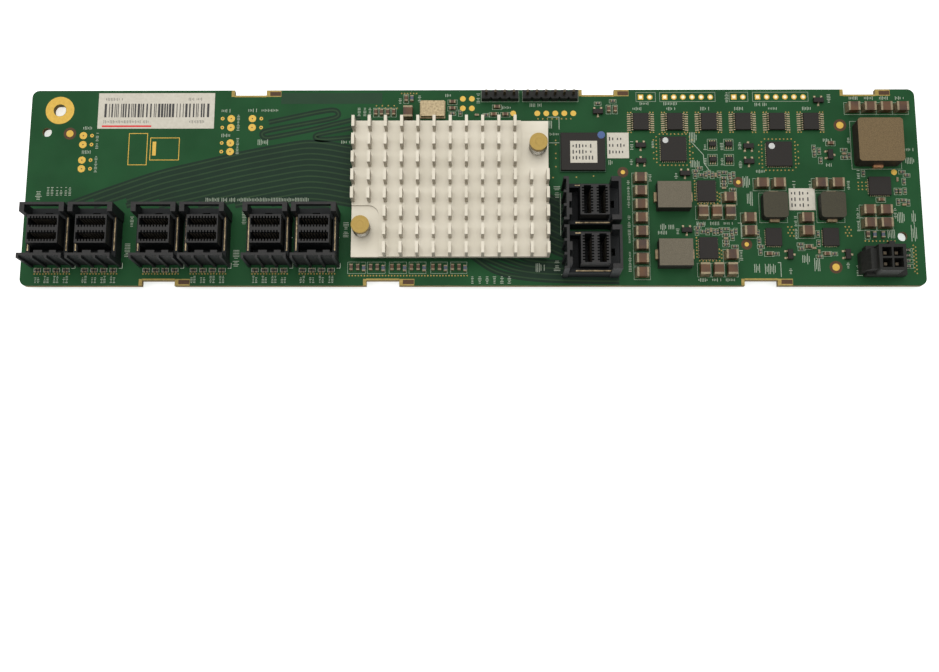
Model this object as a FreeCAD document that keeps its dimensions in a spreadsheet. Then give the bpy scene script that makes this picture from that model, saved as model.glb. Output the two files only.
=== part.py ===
import FreeCAD, Part
import os
import re
import Sketcher

# Slot expander board. A long circuit board carries eight upright twin-slot cable receptacles,
# a switch chip under a pin-fin heatsink held by two spring-loaded push pins, a controller chip,
# converter stages with chokes and capacitors, two pin headers and a four-way power receptacle.
# Millimetres. X runs along the board, Y across it, Z up from the plane the board lies on.

doc = FreeCAD.newDocument("slot_expander_board")
sheet = doc.addObject("Spreadsheet::Sheet", "Dimensions")

dimensions = {
    # Board, its corners and the milled notches in its long edges
    "board_length": 246,
    "board_width": 56,
    "board_thickness": 1.6,
    "board_corner": 2,
    "stand_height": 2.6,
    "notch_length": 8.9,
    "notch_depth": 1.5,
    "far_notch_left_inset": 61.2,
    "far_notch_x": 35.1,
    "far_notch_right_inset": 15.3,
    "near_notch_left_inset": 37.9,
    "near_notch_x": -24.1,
    "near_notch_right_inset": 44.7,
    # Holes for a screw and for the assembly jig
    "mounting_hole": 3.4,
    "mounting_inset_end": 8,
    "mounting_inset_side": 5.8,
    "tooling_hole": 2.6,
    "tooling_inset_left": 4.8,
    "tooling_height_left": 15.8,
    "tooling_inset_right": 5.8,
    "tooling_height_right": -14.3,
    # Heatsink and the chip under it
    "sink_x": -5.8,
    "sink_y": -1.65,
    "sink_length": 53.5,
    "sink_width": 38.4,
    "sink_base": 1.6,
    "fin_columns": 13,
    "fin_rows": 8,
    "fin_thickness": 0.8,
    "fin_length": 3.1,
    "fin_height": 4.4,
    "pocket_length": 7.5,
    "pocket_width": 14.3,
    "pocket_sink": 0.5,
    "pocket_corner": 3,
    "chip_size": 31,
    "substrate_thickness": 1.3,
    "lid_size": 27,
    "lid_thickness": 0.9,
    "thermal_pad_thickness": 0.2,
    # Push pins and their springs
    "pin_inset_end": 2.85,
    "pin_inset_side": 7.7,
    "pin_shank": 2.8,
    "pin_clearance": 0.2,
    "pin_head": 4.9,
    "pin_head_height": 1.5,
    "pin_barb_length": 5,
    "pin_barb_width": 1.4,
    "pin_barb_lip": 0.7,
    "front_pin_turn": -33,
    "rear_pin_turn": 43,
    "spring_height": 3.7,
    "spring_turns": 3,
    "spring_wire": 0.5,
    "spring_fit": 0.1,
    # Twin-slot receptacles
    "receptacle_inset_end": 15.25,
    "receptacle_inset_side": 13.45,
    "receptacle_pair_pitch": 29.7,
    "receptacle_gap": 1,
    "turned_x": 32.85,
    "turned_y": -13.25,
    "turned_gap": 1.4,
    "receptacle_height": 11,
    "front_gap": 3.05,
    "front_wall": 1.4,
    "front_rib": 0.7,
    "front_relief": 0.7,
    "back_gap": 2.35,
    "back_wall": 0.7,
    "back_return": 2.6,
    "ear_step": 0.25,
    "side_gap": 0.4,
    "side_wall": 1.1,
    "side_wall_height": 5.2,
    "window_sill": 4.8,
    "window_lintel": 1.8,
    "shelf_slot_length": 2,
    "shelf_slot_width": 1,
    "floor_height": 1.2,
    "middle_key_x": -0.2,
    "middle_key_width": 2.3,
    "end_key_width": 1.8,
    "key_depth": 0.7,
    "block_height": 9.6,
    "block_end": 0.3,
    "block_side": 1,
    "slot_margin": 0.7,
    "slot_width": 1.9,
    "slot_web": 2,
    "contact_pitch": 0.8,
    "contacts_in_row": 9,
    "contact_width": 0.36,
    "contact_root": 0.4,
    "contact_height": 7.4,
    "post_diameter": 1.1,
    "post_length": 1.5,
    "post_clearance": 0.1,
    "plate_thickness": 0.3,
    "plate_length": 9.9,
    "plate_skin": 0.35,
    "plate_clearance": 0.05,
    "tab_spacing": 8.6,
    "tab_width": 1.2,
    "tab_tail": 0.5,
    "tab_clearance": 0.1,
    # Pin headers
    "four_way_x": 4,
    "six_way_x": 15.4,
    "header_pitch": 2.54,
    "header_inset": 2.1,
    "header_body": 2.5,
    "header_height": 2.2,
    "header_groove": 0.5,
    "header_pin": 0.64,
    "header_pin_height": 4.8,
    "header_pin_tail": 1.2,
    "header_hole_clearance": 0.05,
    "square_diagonal": 1.42,
    # Four-way power receptacle
    "power_inset_end": 11.6,
    "power_inset_side": 5.9,
    "power_pitch": 3,
    "power_web": 0.5,
    "power_skin": 0.85,
    "power_tower_corner": 1.2,
    "power_height": 8.2,
    "power_cell_floor": 2,
    "power_base_reach": 1.8,
    "power_base_back": 0.8,
    "power_base_height": 3,
    "power_latch_reach": 3.2,
    "power_latch_width": 5.6,
    "power_latch_height": 6.4,
    "power_key_width": 1.5,
    "power_pin": 0.8,
    "power_pin_height": 6.5,
    "power_pin_tail": 1.4,
    "power_hole_clearance": 0.05,
    "power_peg_inset": 1,
    "power_peg_offset": 2.6,
    "power_peg": 1.3,
    "power_peg_length": 1.5,
    "power_peg_clearance": 0.1,
    # Chokes
    "cell_inset": 68,
    "cell_y": -3.5,
    "cell_pitch": 16.1,
    "cell_choke_length": 9.1,
    "cell_choke_width": 7.4,
    "cell_choke_height": 4,
    "square_choke_length": 6.7,
    "square_choke_width": 7.2,
    "square_choke_height": 3.4,
    "square_choke_y": -6.2,
    "left_choke_inset": 40.6,
    "right_choke_inset": 25,
    "input_choke_size": 12.3,
    "input_choke_height": 5,
    "input_choke_inset": 11.6,
    "input_choke_y": 11.7,
    "choke_edge": 0.9,
    "choke_lug_width": 2.6,
    "choke_lug_reach": 0.7,
    "choke_lug_height": 1.4,
    # Chip packages
    "controller_length": 12.6,
    "controller_width": 11.3,
    "controller_height": 1.4,
    "controller_x": 30.6,
    "controller_y": 9.6,
    "oscillator_x": -10.9,
    "oscillator_y": 22,
    "oscillator_length": 7,
    "oscillator_width": 5,
    "oscillator_base": 0.6,
    "oscillator_can": 1.2,
    "oscillator_rim": 0.25,
    "driver_inset": 76.2,
    "driver_y": 18.4,
    "driver_count": 6,
    "driver_pitch": 9.4,
    "driver_length": 4.4,
    "driver_width": 5,
    "driver_height": 1,
    "driver_leads": 8,
    "lead_pitch": 0.65,
    "lead_width": 0.24,
    "lead_reach": 1,
    "lead_height": 0.5,
    "flat_chip_height": 0.9,
    "cell_chip_length": 5,
    "cell_chip_width": 6,
    "cell_chip_across": 9.3,
    "cell_chip_up": 1.9,
    "small_chip_length": 4.3,
    "small_chip_width": 5,
    "small_chip_y": -14.6,
    "left_chip_inset": 40.9,
    "right_chip_inset": 25.4,
    "input_chip_length": 6,
    "input_chip_width": 5.2,
    "input_chip_inset": 11.3,
    "input_chip_y": -0.2,
    "monitor_chip": 7,
    "small_body_height": 1,
    "transistor_length": 2.9,
    "transistor_width": 1.5,
    "dual_length": 2,
    "dual_width": 1.4,
    "under_transistor_inset": 5,
    "under_transistor_y": 6.3,
    # Large ceramic capacitors, and the rows that they stand in on either side of the board
    "capacitor_length": 3.2,
    "capacitor_width": 2.5,
    "capacitor_height": 2.4,
    "bulk_capacitor_length": 4.5,
    "bulk_capacitor_width": 3.2,
    "lone_capacitor_x": -17.7,
    "lone_capacitor_y": 21,
    "column_inset": 76.8,
    "column_top": 2,
    "column_pitch": 3.8,
    "column_count": 8,
    "input_row_inset": 17.5,
    "input_row_pitch": 4.45,
    "input_row_y": 22.3,
    "bulk_first_x": -3,
    "bulk_pitch": 5.5,
    "bulk_inset": 5.3,
    "bulk_count": 6,
    "under_row_inset": 17.4,
    "under_row_pitch": 4.63,
    "under_row_y": 22.8,
    "under_rank_inset": 14.7,
    "under_rank_pitch": 3.65,
    "under_rank_y": 17.5,
    # Paper labels: a long one, one on the controller, one beside it and one between the chokes
    "label_thickness": 0.1,
    "long_label_length": 32.5,
    "long_label_width": 10.4,
    "long_label_inset": 35,
    "long_label_y": 22,
    "chip_label_length": 7.4,
    "chip_label_width": 6.3,
    "chip_label_x": 30.8,
    "chip_label_y": 9.4,
    "side_label_length": 6,
    "side_label_width": 7.4,
    "side_label_x": 40.4,
    "side_label_y": 11.7,
    "choke_label_length": 7.1,
    "choke_label_width": 6.2,
    "choke_label_inset": 32.6,
    "choke_label_y": -3.8,
}

for row, (alias, value) in enumerate(dimensions.items(), start=1):
    sheet.set("A%d" % row, alias)
    sheet.set("B%d" % row, str(value))
    sheet.setAlias("B%d" % row, alias)
doc.recompute()

# Sizes and places worked out from the sheet, each usable as a word in a formula
worked_out = {
    "left_end": "-board_length / 2",
    "right_end": "board_length / 2",
    "near_side": "-board_width / 2",
    "far_side": "board_width / 2",
    "board_top": "stand_height + board_thickness",
    "sink_bottom": "board_top + substrate_thickness + lid_thickness + thermal_pad_thickness",
    "sink_top": "sink_base + fin_height",
    "fin_gap": "(sink_width - fin_rows * fin_length) / (fin_rows - 1)",
    "pocket_floor": "sink_bottom + sink_base - pocket_sink",
    "pin_reach_x": "sink_length / 2 - pin_inset_end",
    "pin_reach_y": "sink_width / 2 - pin_inset_side",
    "pin_hole": "pin_shank + 2 * pin_clearance",
    "head_bottom": "pocket_floor - stand_height + spring_height",
    "head_top": "head_bottom + pin_head_height",
    "row_length": "(contacts_in_row - 1) * contact_pitch",
    "slot_length": "row_length + 2 * slot_margin",
    "slot_pitch": "slot_width + slot_web",
    "block_length": "slot_length + 2 * block_end",
    "block_width": "slot_pitch + slot_width + 2 * block_side",
    "inner_width": "block_length + 2 * side_gap",
    "receptacle_width": "inner_width + 2 * side_wall + 2 * ear_step",
    "receptacle_pitch": "receptacle_width + receptacle_gap",
    "turned_pitch": "receptacle_width + turned_gap",
    "front_inner": "-block_width / 2 - front_gap",
    "front_face": "front_inner - front_wall",
    "back_inner": "block_width / 2 + back_gap",
    "back_face": "back_inner + back_wall",
    "return_end": "back_face - back_return",
    "flank_length": "return_end - front_inner",
    "flank_y": "(return_end + front_inner) / 2",
    "window_height": "receptacle_height - window_lintel - window_sill",
    "relief_width": "(receptacle_width - 4 * front_rib) / 3",
    "plate_x": "inner_width / 2 + side_wall - plate_skin - plate_thickness / 2",
    "plate_slot": "plate_thickness + 2 * plate_clearance",
    "header_y": "far_side - header_inset",
    "header_hole": "square_diagonal * header_pin + 2 * header_hole_clearance",
    "power_x": "right_end - power_inset_end",
    "power_y": "near_side + power_inset_side",
    "power_cell": "power_pitch - power_web",
    "power_tower": "power_pitch + power_cell + 2 * power_skin",
    "power_pin_hole": "square_diagonal * power_pin + 2 * power_hole_clearance",
    "power_peg_x": "power_tower / 2 + power_base_reach - power_peg_inset",
    "cell_x": "right_end - cell_inset",
}

# Sides of the prisms that stand for small holes, pegs and grooves
hole_sides = 8
post_sides = 6
groove_sides = 4

finished = []
board_holes = []


def linked(text):
    # Each plain word in a formula is a worked-out size or a cell of the sheet
    def spelled(word):
        name = word.group()
        if name in worked_out:
            return "(" + linked(worked_out[name]) + ")"
        return "Dimensions." + name
    return re.sub(r"\b[a-z][a-z_]*\b", spelled, str(text))


def bind(thing, formulas):
    for name, text in formulas.items():
        thing.setExpression(name, linked(text))


def move(thing, x, y, z, angle=0):
    turn = FreeCAD.Rotation(FreeCAD.Vector(0, 0, 1), angle)
    thing.Placement = FreeCAD.Placement(FreeCAD.Vector(), turn)
    bind(thing, {"Placement.Base.x": x, "Placement.Base.y": y, "Placement.Base.z": z})


def finish(thing, label):
    thing.Label = label
    finished.append(thing)


def box(name, length, width, height, x, y, z):
    # x and y are the middle of the box, z its underside
    made = doc.addObject("Part::Box", name)
    bind(made, {"Length": length, "Width": width, "Height": height})
    move(made, "%s - (%s) / 2" % (x, length), "%s - (%s) / 2" % (y, width), z)
    return made


def cylinder(name, diameter, height, x, y, z):
    made = doc.addObject("Part::Cylinder", name)
    bind(made, {"Radius": "(%s) / 2" % diameter, "Height": height})
    move(made, x, y, z)
    return made


def prism(name, sides, diameter, height, x, y, z):
    # Upright, with its corners on a circle and one corner towards +X
    made = doc.addObject("Part::Prism", name)
    made.Polygon = sides
    bind(made, {"Circumradius": "(%s) / 2" % diameter, "Height": height})
    move(made, x, y, z)
    return made


def group(name, members):
    made = doc.addObject("Part::Compound", name)
    made.Links = members
    return made


def copy_of(name, master, x, y, z, angle=0):
    made = group(name, [master])
    move(made, x, y, z, angle)
    return made


def joined(name, members):
    made = doc.addObject("Part::MultiFuse", name)
    made.Shapes = members
    made.Refine = True
    return made


def cut(name, base, tool):
    made = doc.addObject("Part::Cut", name)
    made.Base = base
    made.Tool = tool
    return made


def new_body(name):
    return doc.addObject("PartDesign::Body", name)


def sketch(body, name, plane, offset="0"):
    made = body.newObject("Sketcher::SketchObject", name)
    support = [feature for feature in body.Origin.OriginFeatures if feature.Role == plane]
    made.AttachmentSupport = [(support[0], "")]
    made.MapMode = "FlatFace"
    bind(made, {"AttachmentOffset.Base.z": offset})
    return made


def tie(profile, title, rule, text):
    number = profile.addConstraint(Sketcher.Constraint(*rule))
    profile.renameConstraint(number, title)
    bind(profile, {"Constraints." + title: text})


def polygon(profile, points):
    # Straight-sided outline whose corners are tied to the sheet
    first = profile.GeometryCount
    count = len(points)
    for index in range(count):
        start = FreeCAD.Vector(index, index * index, 0)
        end = FreeCAD.Vector(index + 1, (index + 1) * (index + 1), 0)
        profile.addGeometry(Part.LineSegment(start, end), False)
    for index in range(count):
        following = first + (index + 1) % count
        profile.addConstraint(Sketcher.Constraint("Coincident", first + index, 2, following, 1))
    for index, corner in enumerate(points, start=first):
        for axis, text in zip("XY", corner):
            tie(profile, "corner_%d_%s" % (index, axis), ("Distance" + axis, -1, 1, index, 1, 1.0), text)


def rectangle(profile, x, y, length, width):
    low_x = "%s - (%s) / 2" % (x, length)
    high_x = "%s + (%s) / 2" % (x, length)
    low_y = "%s - (%s) / 2" % (y, width)
    high_y = "%s + (%s) / 2" % (y, width)
    polygon(profile, [(low_x, low_y), (high_x, low_y), (high_x, high_y), (low_x, high_y)])


def pad(body, name, profile, length):
    made = body.newObject("PartDesign::Pad", name)
    made.Profile = profile
    bind(made, {"Length": length})
    return made


def pocket(body, name, profile, length, reversed_side=False):
    made = body.newObject("PartDesign::Pocket", name)
    made.Profile = profile
    made.Reversed = reversed_side
    bind(made, {"Length": length})
    return made


def row_of(body, name, feature, profile, axis, length, count):
    # Copies of a feature along an axis of its sketch, length from the first to the last
    doc.recompute()
    made = body.newObject("PartDesign::LinearPattern", name)
    made.Originals = [feature]
    made.Direction = (profile, [axis])
    bind(made, {"Length": length, "Occurrences": count})
    body.Tip = made


def upright_edges(shape, wanted):
    # Names of the upright edges whose middle passes the test
    names = []
    for number, edge in enumerate(shape.Edges, start=1):
        spread = edge.BoundBox
        if spread.XLength < 1e-6 and spread.YLength < 1e-6 and wanted(edge.CenterOfMass):
            names.append("Edge%d" % number)
    return names


def rounded(body, name, base, wanted, radius):
    doc.recompute()
    made = body.newObject("PartDesign::Fillet", name)
    made.Base = (base, upright_edges(base.Shape, wanted))
    bind(made, {"Radius": radius})
    body.Tip = made
    doc.recompute()


def extruded(name, corners, thickness):
    # A flat piece in the YZ plane, half its thickness to either side
    profile = doc.addObject("Sketcher::SketchObject", name + "_profile")
    profile.Placement.Rotation = FreeCAD.Rotation(FreeCAD.Vector(1, 1, 1), 120)
    polygon(profile, corners)
    made = doc.addObject("Part::Extrusion", name)
    made.Base = profile
    made.DirMode = "Normal"
    made.Solid = True
    made.Symmetric = True
    bind(made, {"LengthFwd": thickness})
    return made


# Receptacle housing: a moulded shroud with a block of two card slots standing in it.
# Its own origin is the middle of the contacts on the board, and its front faces -Y.
housing = new_body("housing_form")
outline = sketch(housing, "shroud_outline", "XY_Plane")
rectangle(outline, "0", "(front_face + back_face) / 2", "receptacle_width", "back_face - front_face")
pad(housing, "shroud", outline, "receptacle_height")

outline = sketch(housing, "well_outline", "XY_Plane", "receptacle_height")
rectangle(outline, "0", "(front_inner + back_inner) / 2", "inner_width", "back_inner - front_inner")
rectangle(outline, "0", "0", "block_length", "block_width")
pocket(housing, "well", outline, "receptacle_height - floor_height")

# Shelf behind the block, level with the latch window's sill
outline = sketch(housing, "shelf_outline", "XY_Plane", "floor_height")
rectangle(outline, "0", "block_width / 2 + back_gap / 2", "inner_width", "back_gap")
rectangle(outline, "0", "block_width / 2 + back_gap / 2", "shelf_slot_length", "shelf_slot_width")
pad(housing, "shelf", outline, "window_sill - floor_height")

outline = sketch(housing, "block_outline", "XY_Plane", "receptacle_height")
rectangle(outline, "0", "0", "block_length", "block_width")
pocket(housing, "block_top", outline, "receptacle_height - block_height")

# The side walls are low and set in from the ears of the front and back walls
opening = sketch(housing, "flank_opening_outline", "XY_Plane", "receptacle_height")
step = sketch(housing, "flank_step_outline", "XY_Plane", "receptacle_height")
for hand in (-1, 1):
    rectangle(opening, "%d * (receptacle_width - ear_step - side_wall) / 2" % hand, "flank_y",
              "ear_step + side_wall", "flank_length")
    rectangle(step, "%d * (receptacle_width - ear_step) / 2" % hand, "flank_y", "ear_step", "flank_length")
pocket(housing, "flank_opening", opening, "receptacle_height - side_wall_height")
pocket(housing, "flank_step", step, "receptacle_height")

outline = sketch(housing, "slot_outline", "XY_Plane", "block_height")
for hand in (-1, 1):
    rectangle(outline, "0", "%d * slot_pitch / 2" % hand, "slot_length", "slot_width")
pocket(housing, "card_slots", outline, "block_height - floor_height")

outline = sketch(housing, "window_outline", "XZ_Plane", "-back_face")
rectangle(outline, "0", "window_sill + window_height / 2", "inner_width", "window_height")
pocket(housing, "latch_window", outline, "back_wall", True)

# Upright ribs on the front are left between three reliefs that are open at the top
outline = sketch(housing, "relief_outline", "XZ_Plane", "-front_face")
for column in (-1, 0, 1):
    rectangle(outline, "%d * (relief_width + front_rib)" % column, "receptacle_height / 2",
              "relief_width", "receptacle_height")
pocket(housing, "front_reliefs", outline, "front_relief")

# Two unequal keys inside the front wall let the plug in one way round
outline = sketch(housing, "key_outline", "XY_Plane", "floor_height")
rectangle(outline, "middle_key_x", "front_inner + key_depth / 2", "middle_key_width", "key_depth")
rectangle(outline, "(inner_width - end_key_width) / 2", "front_inner + key_depth / 2", "end_key_width",
          "key_depth")
pad(housing, "keys", outline, "receptacle_height - floor_height")

# Slots down through the side walls for the hold-down plates
outline = sketch(housing, "plate_slot_outline", "XY_Plane", "side_wall_height")
for hand in (-1, 1):
    rectangle(outline, "%d * plate_x" % hand, "0", "plate_slot", "plate_length + 2 * plate_clearance")
pocket(housing, "plate_slots", outline, "side_wall_height")

# Locating posts, and the holes that one receptacle needs in the board
posts = []
receptacle_holes = []
for hand in (-1, 1):
    post_x = "%d * plate_x" % hand
    posts.append(prism("post", post_sides, "post_diameter", "post_length", post_x, "0", "-post_length"))
    receptacle_holes.append(prism("post_hole", post_sides, "post_diameter + 2 * post_clearance",
                                  "board_thickness", post_x, "0", "-board_thickness"))
    for end in (-1, 1):
        receptacle_holes.append(box("tab_hole", "plate_thickness + 2 * tab_clearance",
                                    "tab_width + 2 * tab_clearance", "board_thickness", post_x,
                                    "%d * tab_spacing / 2" % end, "-board_thickness"))
posted_housing = joined("posted_housing", [housing] + posts)
receptacle_hole_set = group("receptacle_hole_set", receptacle_holes)

# One contact is a tapered blade that stands on a slot's floor with its back against the wall
contact_blade = extruded("contact_blade", [("0", "0"), ("-contact_root", "0"), ("0", "contact_height")],
                         "contact_width")
blades = []
for slot in (-1, 1):
    for facing in (-1, 1):
        for column in range(int(sheet.contacts_in_row)):
            blades.append(copy_of("contact", contact_blade, "%d * contact_pitch - row_length / 2" % column,
                                  "%d * slot_pitch / 2 + %d * slot_width / 2" % (slot, facing),
                                  "floor_height", 90 - 90 * facing))
contact_set = group("contact_set", blades)

# Hold-down plate that stands on the board, with two solder tabs through it
plate_edge = [("plate_length / 2", "side_wall_height"), ("plate_length / 2", "0"),
              ("tab_spacing / 2 + tab_width / 2", "0"),
              ("tab_spacing / 2 + tab_width / 2", "-board_thickness - tab_tail"),
              ("tab_spacing / 2 - tab_width / 2", "-board_thickness - tab_tail"),
              ("tab_spacing / 2 - tab_width / 2", "0")]
mirrored_edge = [("-(%s)" % across, up) for across, up in reversed(plate_edge)]
plate = extruded("plate", plate_edge + mirrored_edge, "plate_thickness")
plate_set = group("plate_set", [copy_of("plate_left", plate, "-plate_x", "0", "0"),
                                copy_of("plate_right", plate, "plate_x", "0", "0")])

# Three pairs stand along the near edge, and one pair is turned to face the left
receptacle_places = []
for pair in range(3):
    middle = "left_end + receptacle_inset_end + %d * receptacle_pair_pitch" % pair
    for hand in (-1, 1):
        receptacle_places.append(("%s + %d * receptacle_pitch / 2" % (middle, hand),
                                  "near_side + receptacle_inset_side", 0))
for hand in (1, -1):
    receptacle_places.append(("turned_x", "turned_y + %d * turned_pitch / 2" % hand, -90))
for number, (x, y, angle) in enumerate(receptacle_places, start=1):
    for piece, master in (("housing", posted_housing), ("contacts", contact_set), ("hold_downs", plate_set)):
        label = "receptacle_%d_%s" % (number, piece)
        finish(copy_of(label, master, x, y, "board_top", angle), label)
    board_holes.append(copy_of("receptacle_%d_holes" % number, receptacle_hole_set, x, y, "board_top",
                               angle))

# Heatsink: a plate with straight fins, cross-cut into short ones, with two milled corner pockets
sink = new_body("heatsink_form")
outline = sketch(sink, "sink_base_outline", "XY_Plane")
rectangle(outline, "0", "0", "sink_length", "sink_width")
pad(sink, "sink_plate", outline, "sink_base")

outline = sketch(sink, "fin_outline", "XY_Plane", "sink_base")
rectangle(outline, "(fin_thickness - sink_length) / 2", "0", "fin_thickness", "sink_width")
fin = pad(sink, "fin", outline, "fin_height")
row_of(sink, "fin_row", fin, outline, "H_Axis", "sink_length - fin_thickness", "fin_columns")

outline = sketch(sink, "cross_cut_outline", "XY_Plane", "sink_top")
rectangle(outline, "0", "fin_length - sink_width / 2 + fin_gap / 2", "sink_length", "fin_gap")
cross_cut = pocket(sink, "cross_cut", outline, "fin_height")
row_of(sink, "cross_cuts", cross_cut, outline, "V_Axis", "(fin_rows - 2) * (fin_length + fin_gap)",
       "fin_rows - 1")

outline = sketch(sink, "pocket_outline", "XY_Plane", "sink_top")
for hand in (-1, 1):
    rectangle(outline, "%d * (sink_length - pocket_length) / 2" % hand,
              "%d * (sink_width - pocket_width) / 2" % hand, "pocket_length", "pocket_width")
corner_pockets = pocket(sink, "corner_pockets", outline, "fin_height + pocket_sink")
inner_corner = (sheet.sink_length / 2 - sheet.pocket_length, sheet.sink_width / 2 - sheet.pocket_width)
rounded(sink, "pocket_corners", corner_pockets,
        lambda at: (abs(abs(at.x) - inner_corner[0]) < 1e-3 and abs(abs(at.y) - inner_corner[1]) < 1e-3
                    and at.z < sheet.sink_base), "pocket_corner")

sink_holes = []
for hand in (-1, 1):
    sink_holes.append(prism("sink_pin_hole", hole_sides, "pin_hole", "sink_base",
                            "%d * pin_reach_x" % hand, "%d * pin_reach_y" % hand, "0"))
drilled_sink = cut("heatsink", sink, group("sink_hole_set", sink_holes))
move(drilled_sink, "sink_x", "sink_y", "sink_bottom")
finish(drilled_sink, "heatsink")

# Switch chip under the heatsink
finish(box("switch_chip_substrate", "chip_size", "chip_size", "substrate_thickness",
           "sink_x", "sink_y", "board_top"), "switch_chip_substrate")
finish(box("switch_chip_lid", "lid_size", "lid_size", "lid_thickness",
           "sink_x", "sink_y", "board_top + substrate_thickness"), "switch_chip_lid")
finish(box("thermal_pad", "lid_size", "lid_size", "thermal_pad_thickness",
           "sink_x", "sink_y", "sink_bottom - thermal_pad_thickness"), "thermal_pad")

# Push pin: a turned head and shank, and a flat barbed tip that grips under the board
pin = new_body("push_pin_form")
outline = sketch(pin, "pin_profile", "XZ_Plane")
polygon(outline, [("0", "0"), ("pin_shank / 2", "0"), ("pin_shank / 2", "head_bottom"),
                  ("pin_head / 2", "head_bottom"), ("pin_head / 2", "head_top"), ("0", "head_top")])
turned = pin.newObject("PartDesign::Revolution", "pin_turned")
turned.Profile = outline
turned.ReferenceAxis = (outline, ["V_Axis"])
turned.Angle = 360
outline = sketch(pin, "barb_outline", "XZ_Plane", "-pin_barb_width / 2")
polygon(outline, [("-pin_barb_length / 2", "0"), ("-pin_barb_length / 2", "-pin_barb_lip"),
                  ("-pin_shank / 4", "-stand_height"), ("pin_shank / 4", "-stand_height"),
                  ("pin_barb_length / 2", "-pin_barb_lip"), ("pin_barb_length / 2", "0")])
pad(pin, "barbs", outline, "pin_barb_width")

# Spring round the pin, from the pocket's floor to the head, wound from flat-sided wire
steps_per_turn = 8
steps = int(sheet.spring_turns) * steps_per_turn
outer = sheet.pin_head / 2
inner = outer - sheet.spring_wire
free_height = sheet.spring_height - sheet.spring_wire - 2 * sheet.spring_fit
sections = []
for step in range(steps + 1):
    low = free_height * step / steps
    high = low + sheet.spring_wire
    turn = FreeCAD.Rotation(FreeCAD.Vector(0, 0, 1), 360 * step / steps_per_turn)
    corners = ((inner, low), (outer, low), (outer, high), (inner, high), (inner, low))
    points = [turn.multVec(FreeCAD.Vector(reach, 0, rise)) for reach, rise in corners]
    sections.append(Part.makePolygon(points))
coil = doc.addObject("Part::Feature", "spring_form")
coil.Shape = Part.makeLoft(sections, True, True)

for label, hand, angle in (("front", -1, sheet.front_pin_turn), ("rear", 1, sheet.rear_pin_turn)):
    x = "sink_x + %d * pin_reach_x" % hand
    y = "sink_y + %d * pin_reach_y" % hand
    finish(copy_of("push_pin_" + label, pin, x, y, "stand_height", angle), "push_pin_" + label)
    finish(copy_of("push_pin_spring_" + label, coil, x, y, "pocket_floor + spring_fit"),
           "push_pin_spring_" + label)
    board_holes.append(prism("push_pin_hole", hole_sides, "pin_hole", "board_thickness", x, y,
                             "stand_height"))

# Controller chip, and the metal-can oscillator on its base
finish(box("controller_chip", "controller_length", "controller_width", "controller_height",
           "controller_x", "controller_y", "board_top"), "controller_chip")
finish(box("oscillator_base", "oscillator_length", "oscillator_width", "oscillator_base",
           "oscillator_x", "oscillator_y", "board_top"), "oscillator_base")
finish(box("oscillator_can", "oscillator_length - 2 * oscillator_rim",
           "oscillator_width - 2 * oscillator_rim", "oscillator_can", "oscillator_x", "oscillator_y",
           "board_top + oscillator_base"), "oscillator_can")

# Pin headers at the far edge: a grooved strip with square pins through it and the board
for label, ways, first_x in (("four_way", 4, "four_way_x"), ("six_way", 6, "six_way_x")):
    middle = "%s + %d * header_pitch / 2" % (first_x, ways - 1)
    strip = box(label + "_block", "%d * header_pitch" % ways, "header_body", "header_height", middle,
                "header_y", "board_top")
    tools = []
    pins = []
    for way in range(ways):
        way_x = "%s + %d * header_pitch" % (first_x, way)
        tools.append(box("pin_way", "header_pin", "header_pin", "header_height", way_x, "header_y",
                         "board_top"))
        pins.append(box("header_pin", "header_pin", "header_pin",
                        "header_pin_height + board_thickness + header_pin_tail", way_x, "header_y",
                        "stand_height - header_pin_tail"))
        board_holes.append(prism("header_hole", hole_sides, "header_hole", "board_thickness", way_x,
                                 "header_y", "stand_height"))
    for groove in range(1, ways):
        groove_x = "%s + (%d - 0.5) * header_pitch" % (first_x, groove)
        for hand in (-1, 1):
            tools.append(prism("groove", groove_sides, "2 * header_groove", "header_height", groove_x,
                               "header_y + %d * header_body / 2" % hand, "board_top"))
    finish(cut("header_%s_strip" % label, strip, group(label + "_tools", tools)), "header_%s_strip" % label)
    finish(group("header_%s_pins" % label, pins), "header_%s_pins" % label)

# Power receptacle: a base, a tower of four cells, a latch ramp on its left and a key at its back
power = new_body("power_receptacle_form")
outline = sketch(power, "power_tower_outline", "XY_Plane")
rectangle(outline, "0", "0", "power_tower", "power_tower")
tower = pad(power, "power_tower", outline, "power_height")
rounded(power, "power_tower_corners", tower, lambda at: at.y < 0, "power_tower_corner")
outline = sketch(power, "power_base_outline", "XY_Plane")
rectangle(outline, "0", "power_base_back / 2", "power_tower + 2 * power_base_reach",
          "power_tower + power_base_back")
pad(power, "power_base", outline, "power_base_height")
outline = sketch(power, "power_latch_outline", "XZ_Plane", "-power_latch_width / 2")
polygon(outline, [("-power_tower / 2", "0"), ("-power_tower / 2", "power_latch_height"),
                  ("-power_tower / 2 - power_latch_reach / 2", "power_latch_height"),
                  ("-power_tower / 2 - power_latch_reach", "power_base_height"),
                  ("-power_tower / 2 - power_latch_reach", "0")])
pad(power, "power_latch", outline, "power_latch_width")
outline = sketch(power, "power_key_outline", "XY_Plane")
rectangle(outline, "0", "(power_tower + power_base_back) / 2", "power_key_width", "power_base_back")
pad(power, "power_key", outline, "power_height")
cells = sketch(power, "power_cell_outline", "XY_Plane", "power_height")
pin_ways = sketch(power, "power_pin_way_outline", "XY_Plane", "power_cell_floor")
power_pins = []
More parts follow.
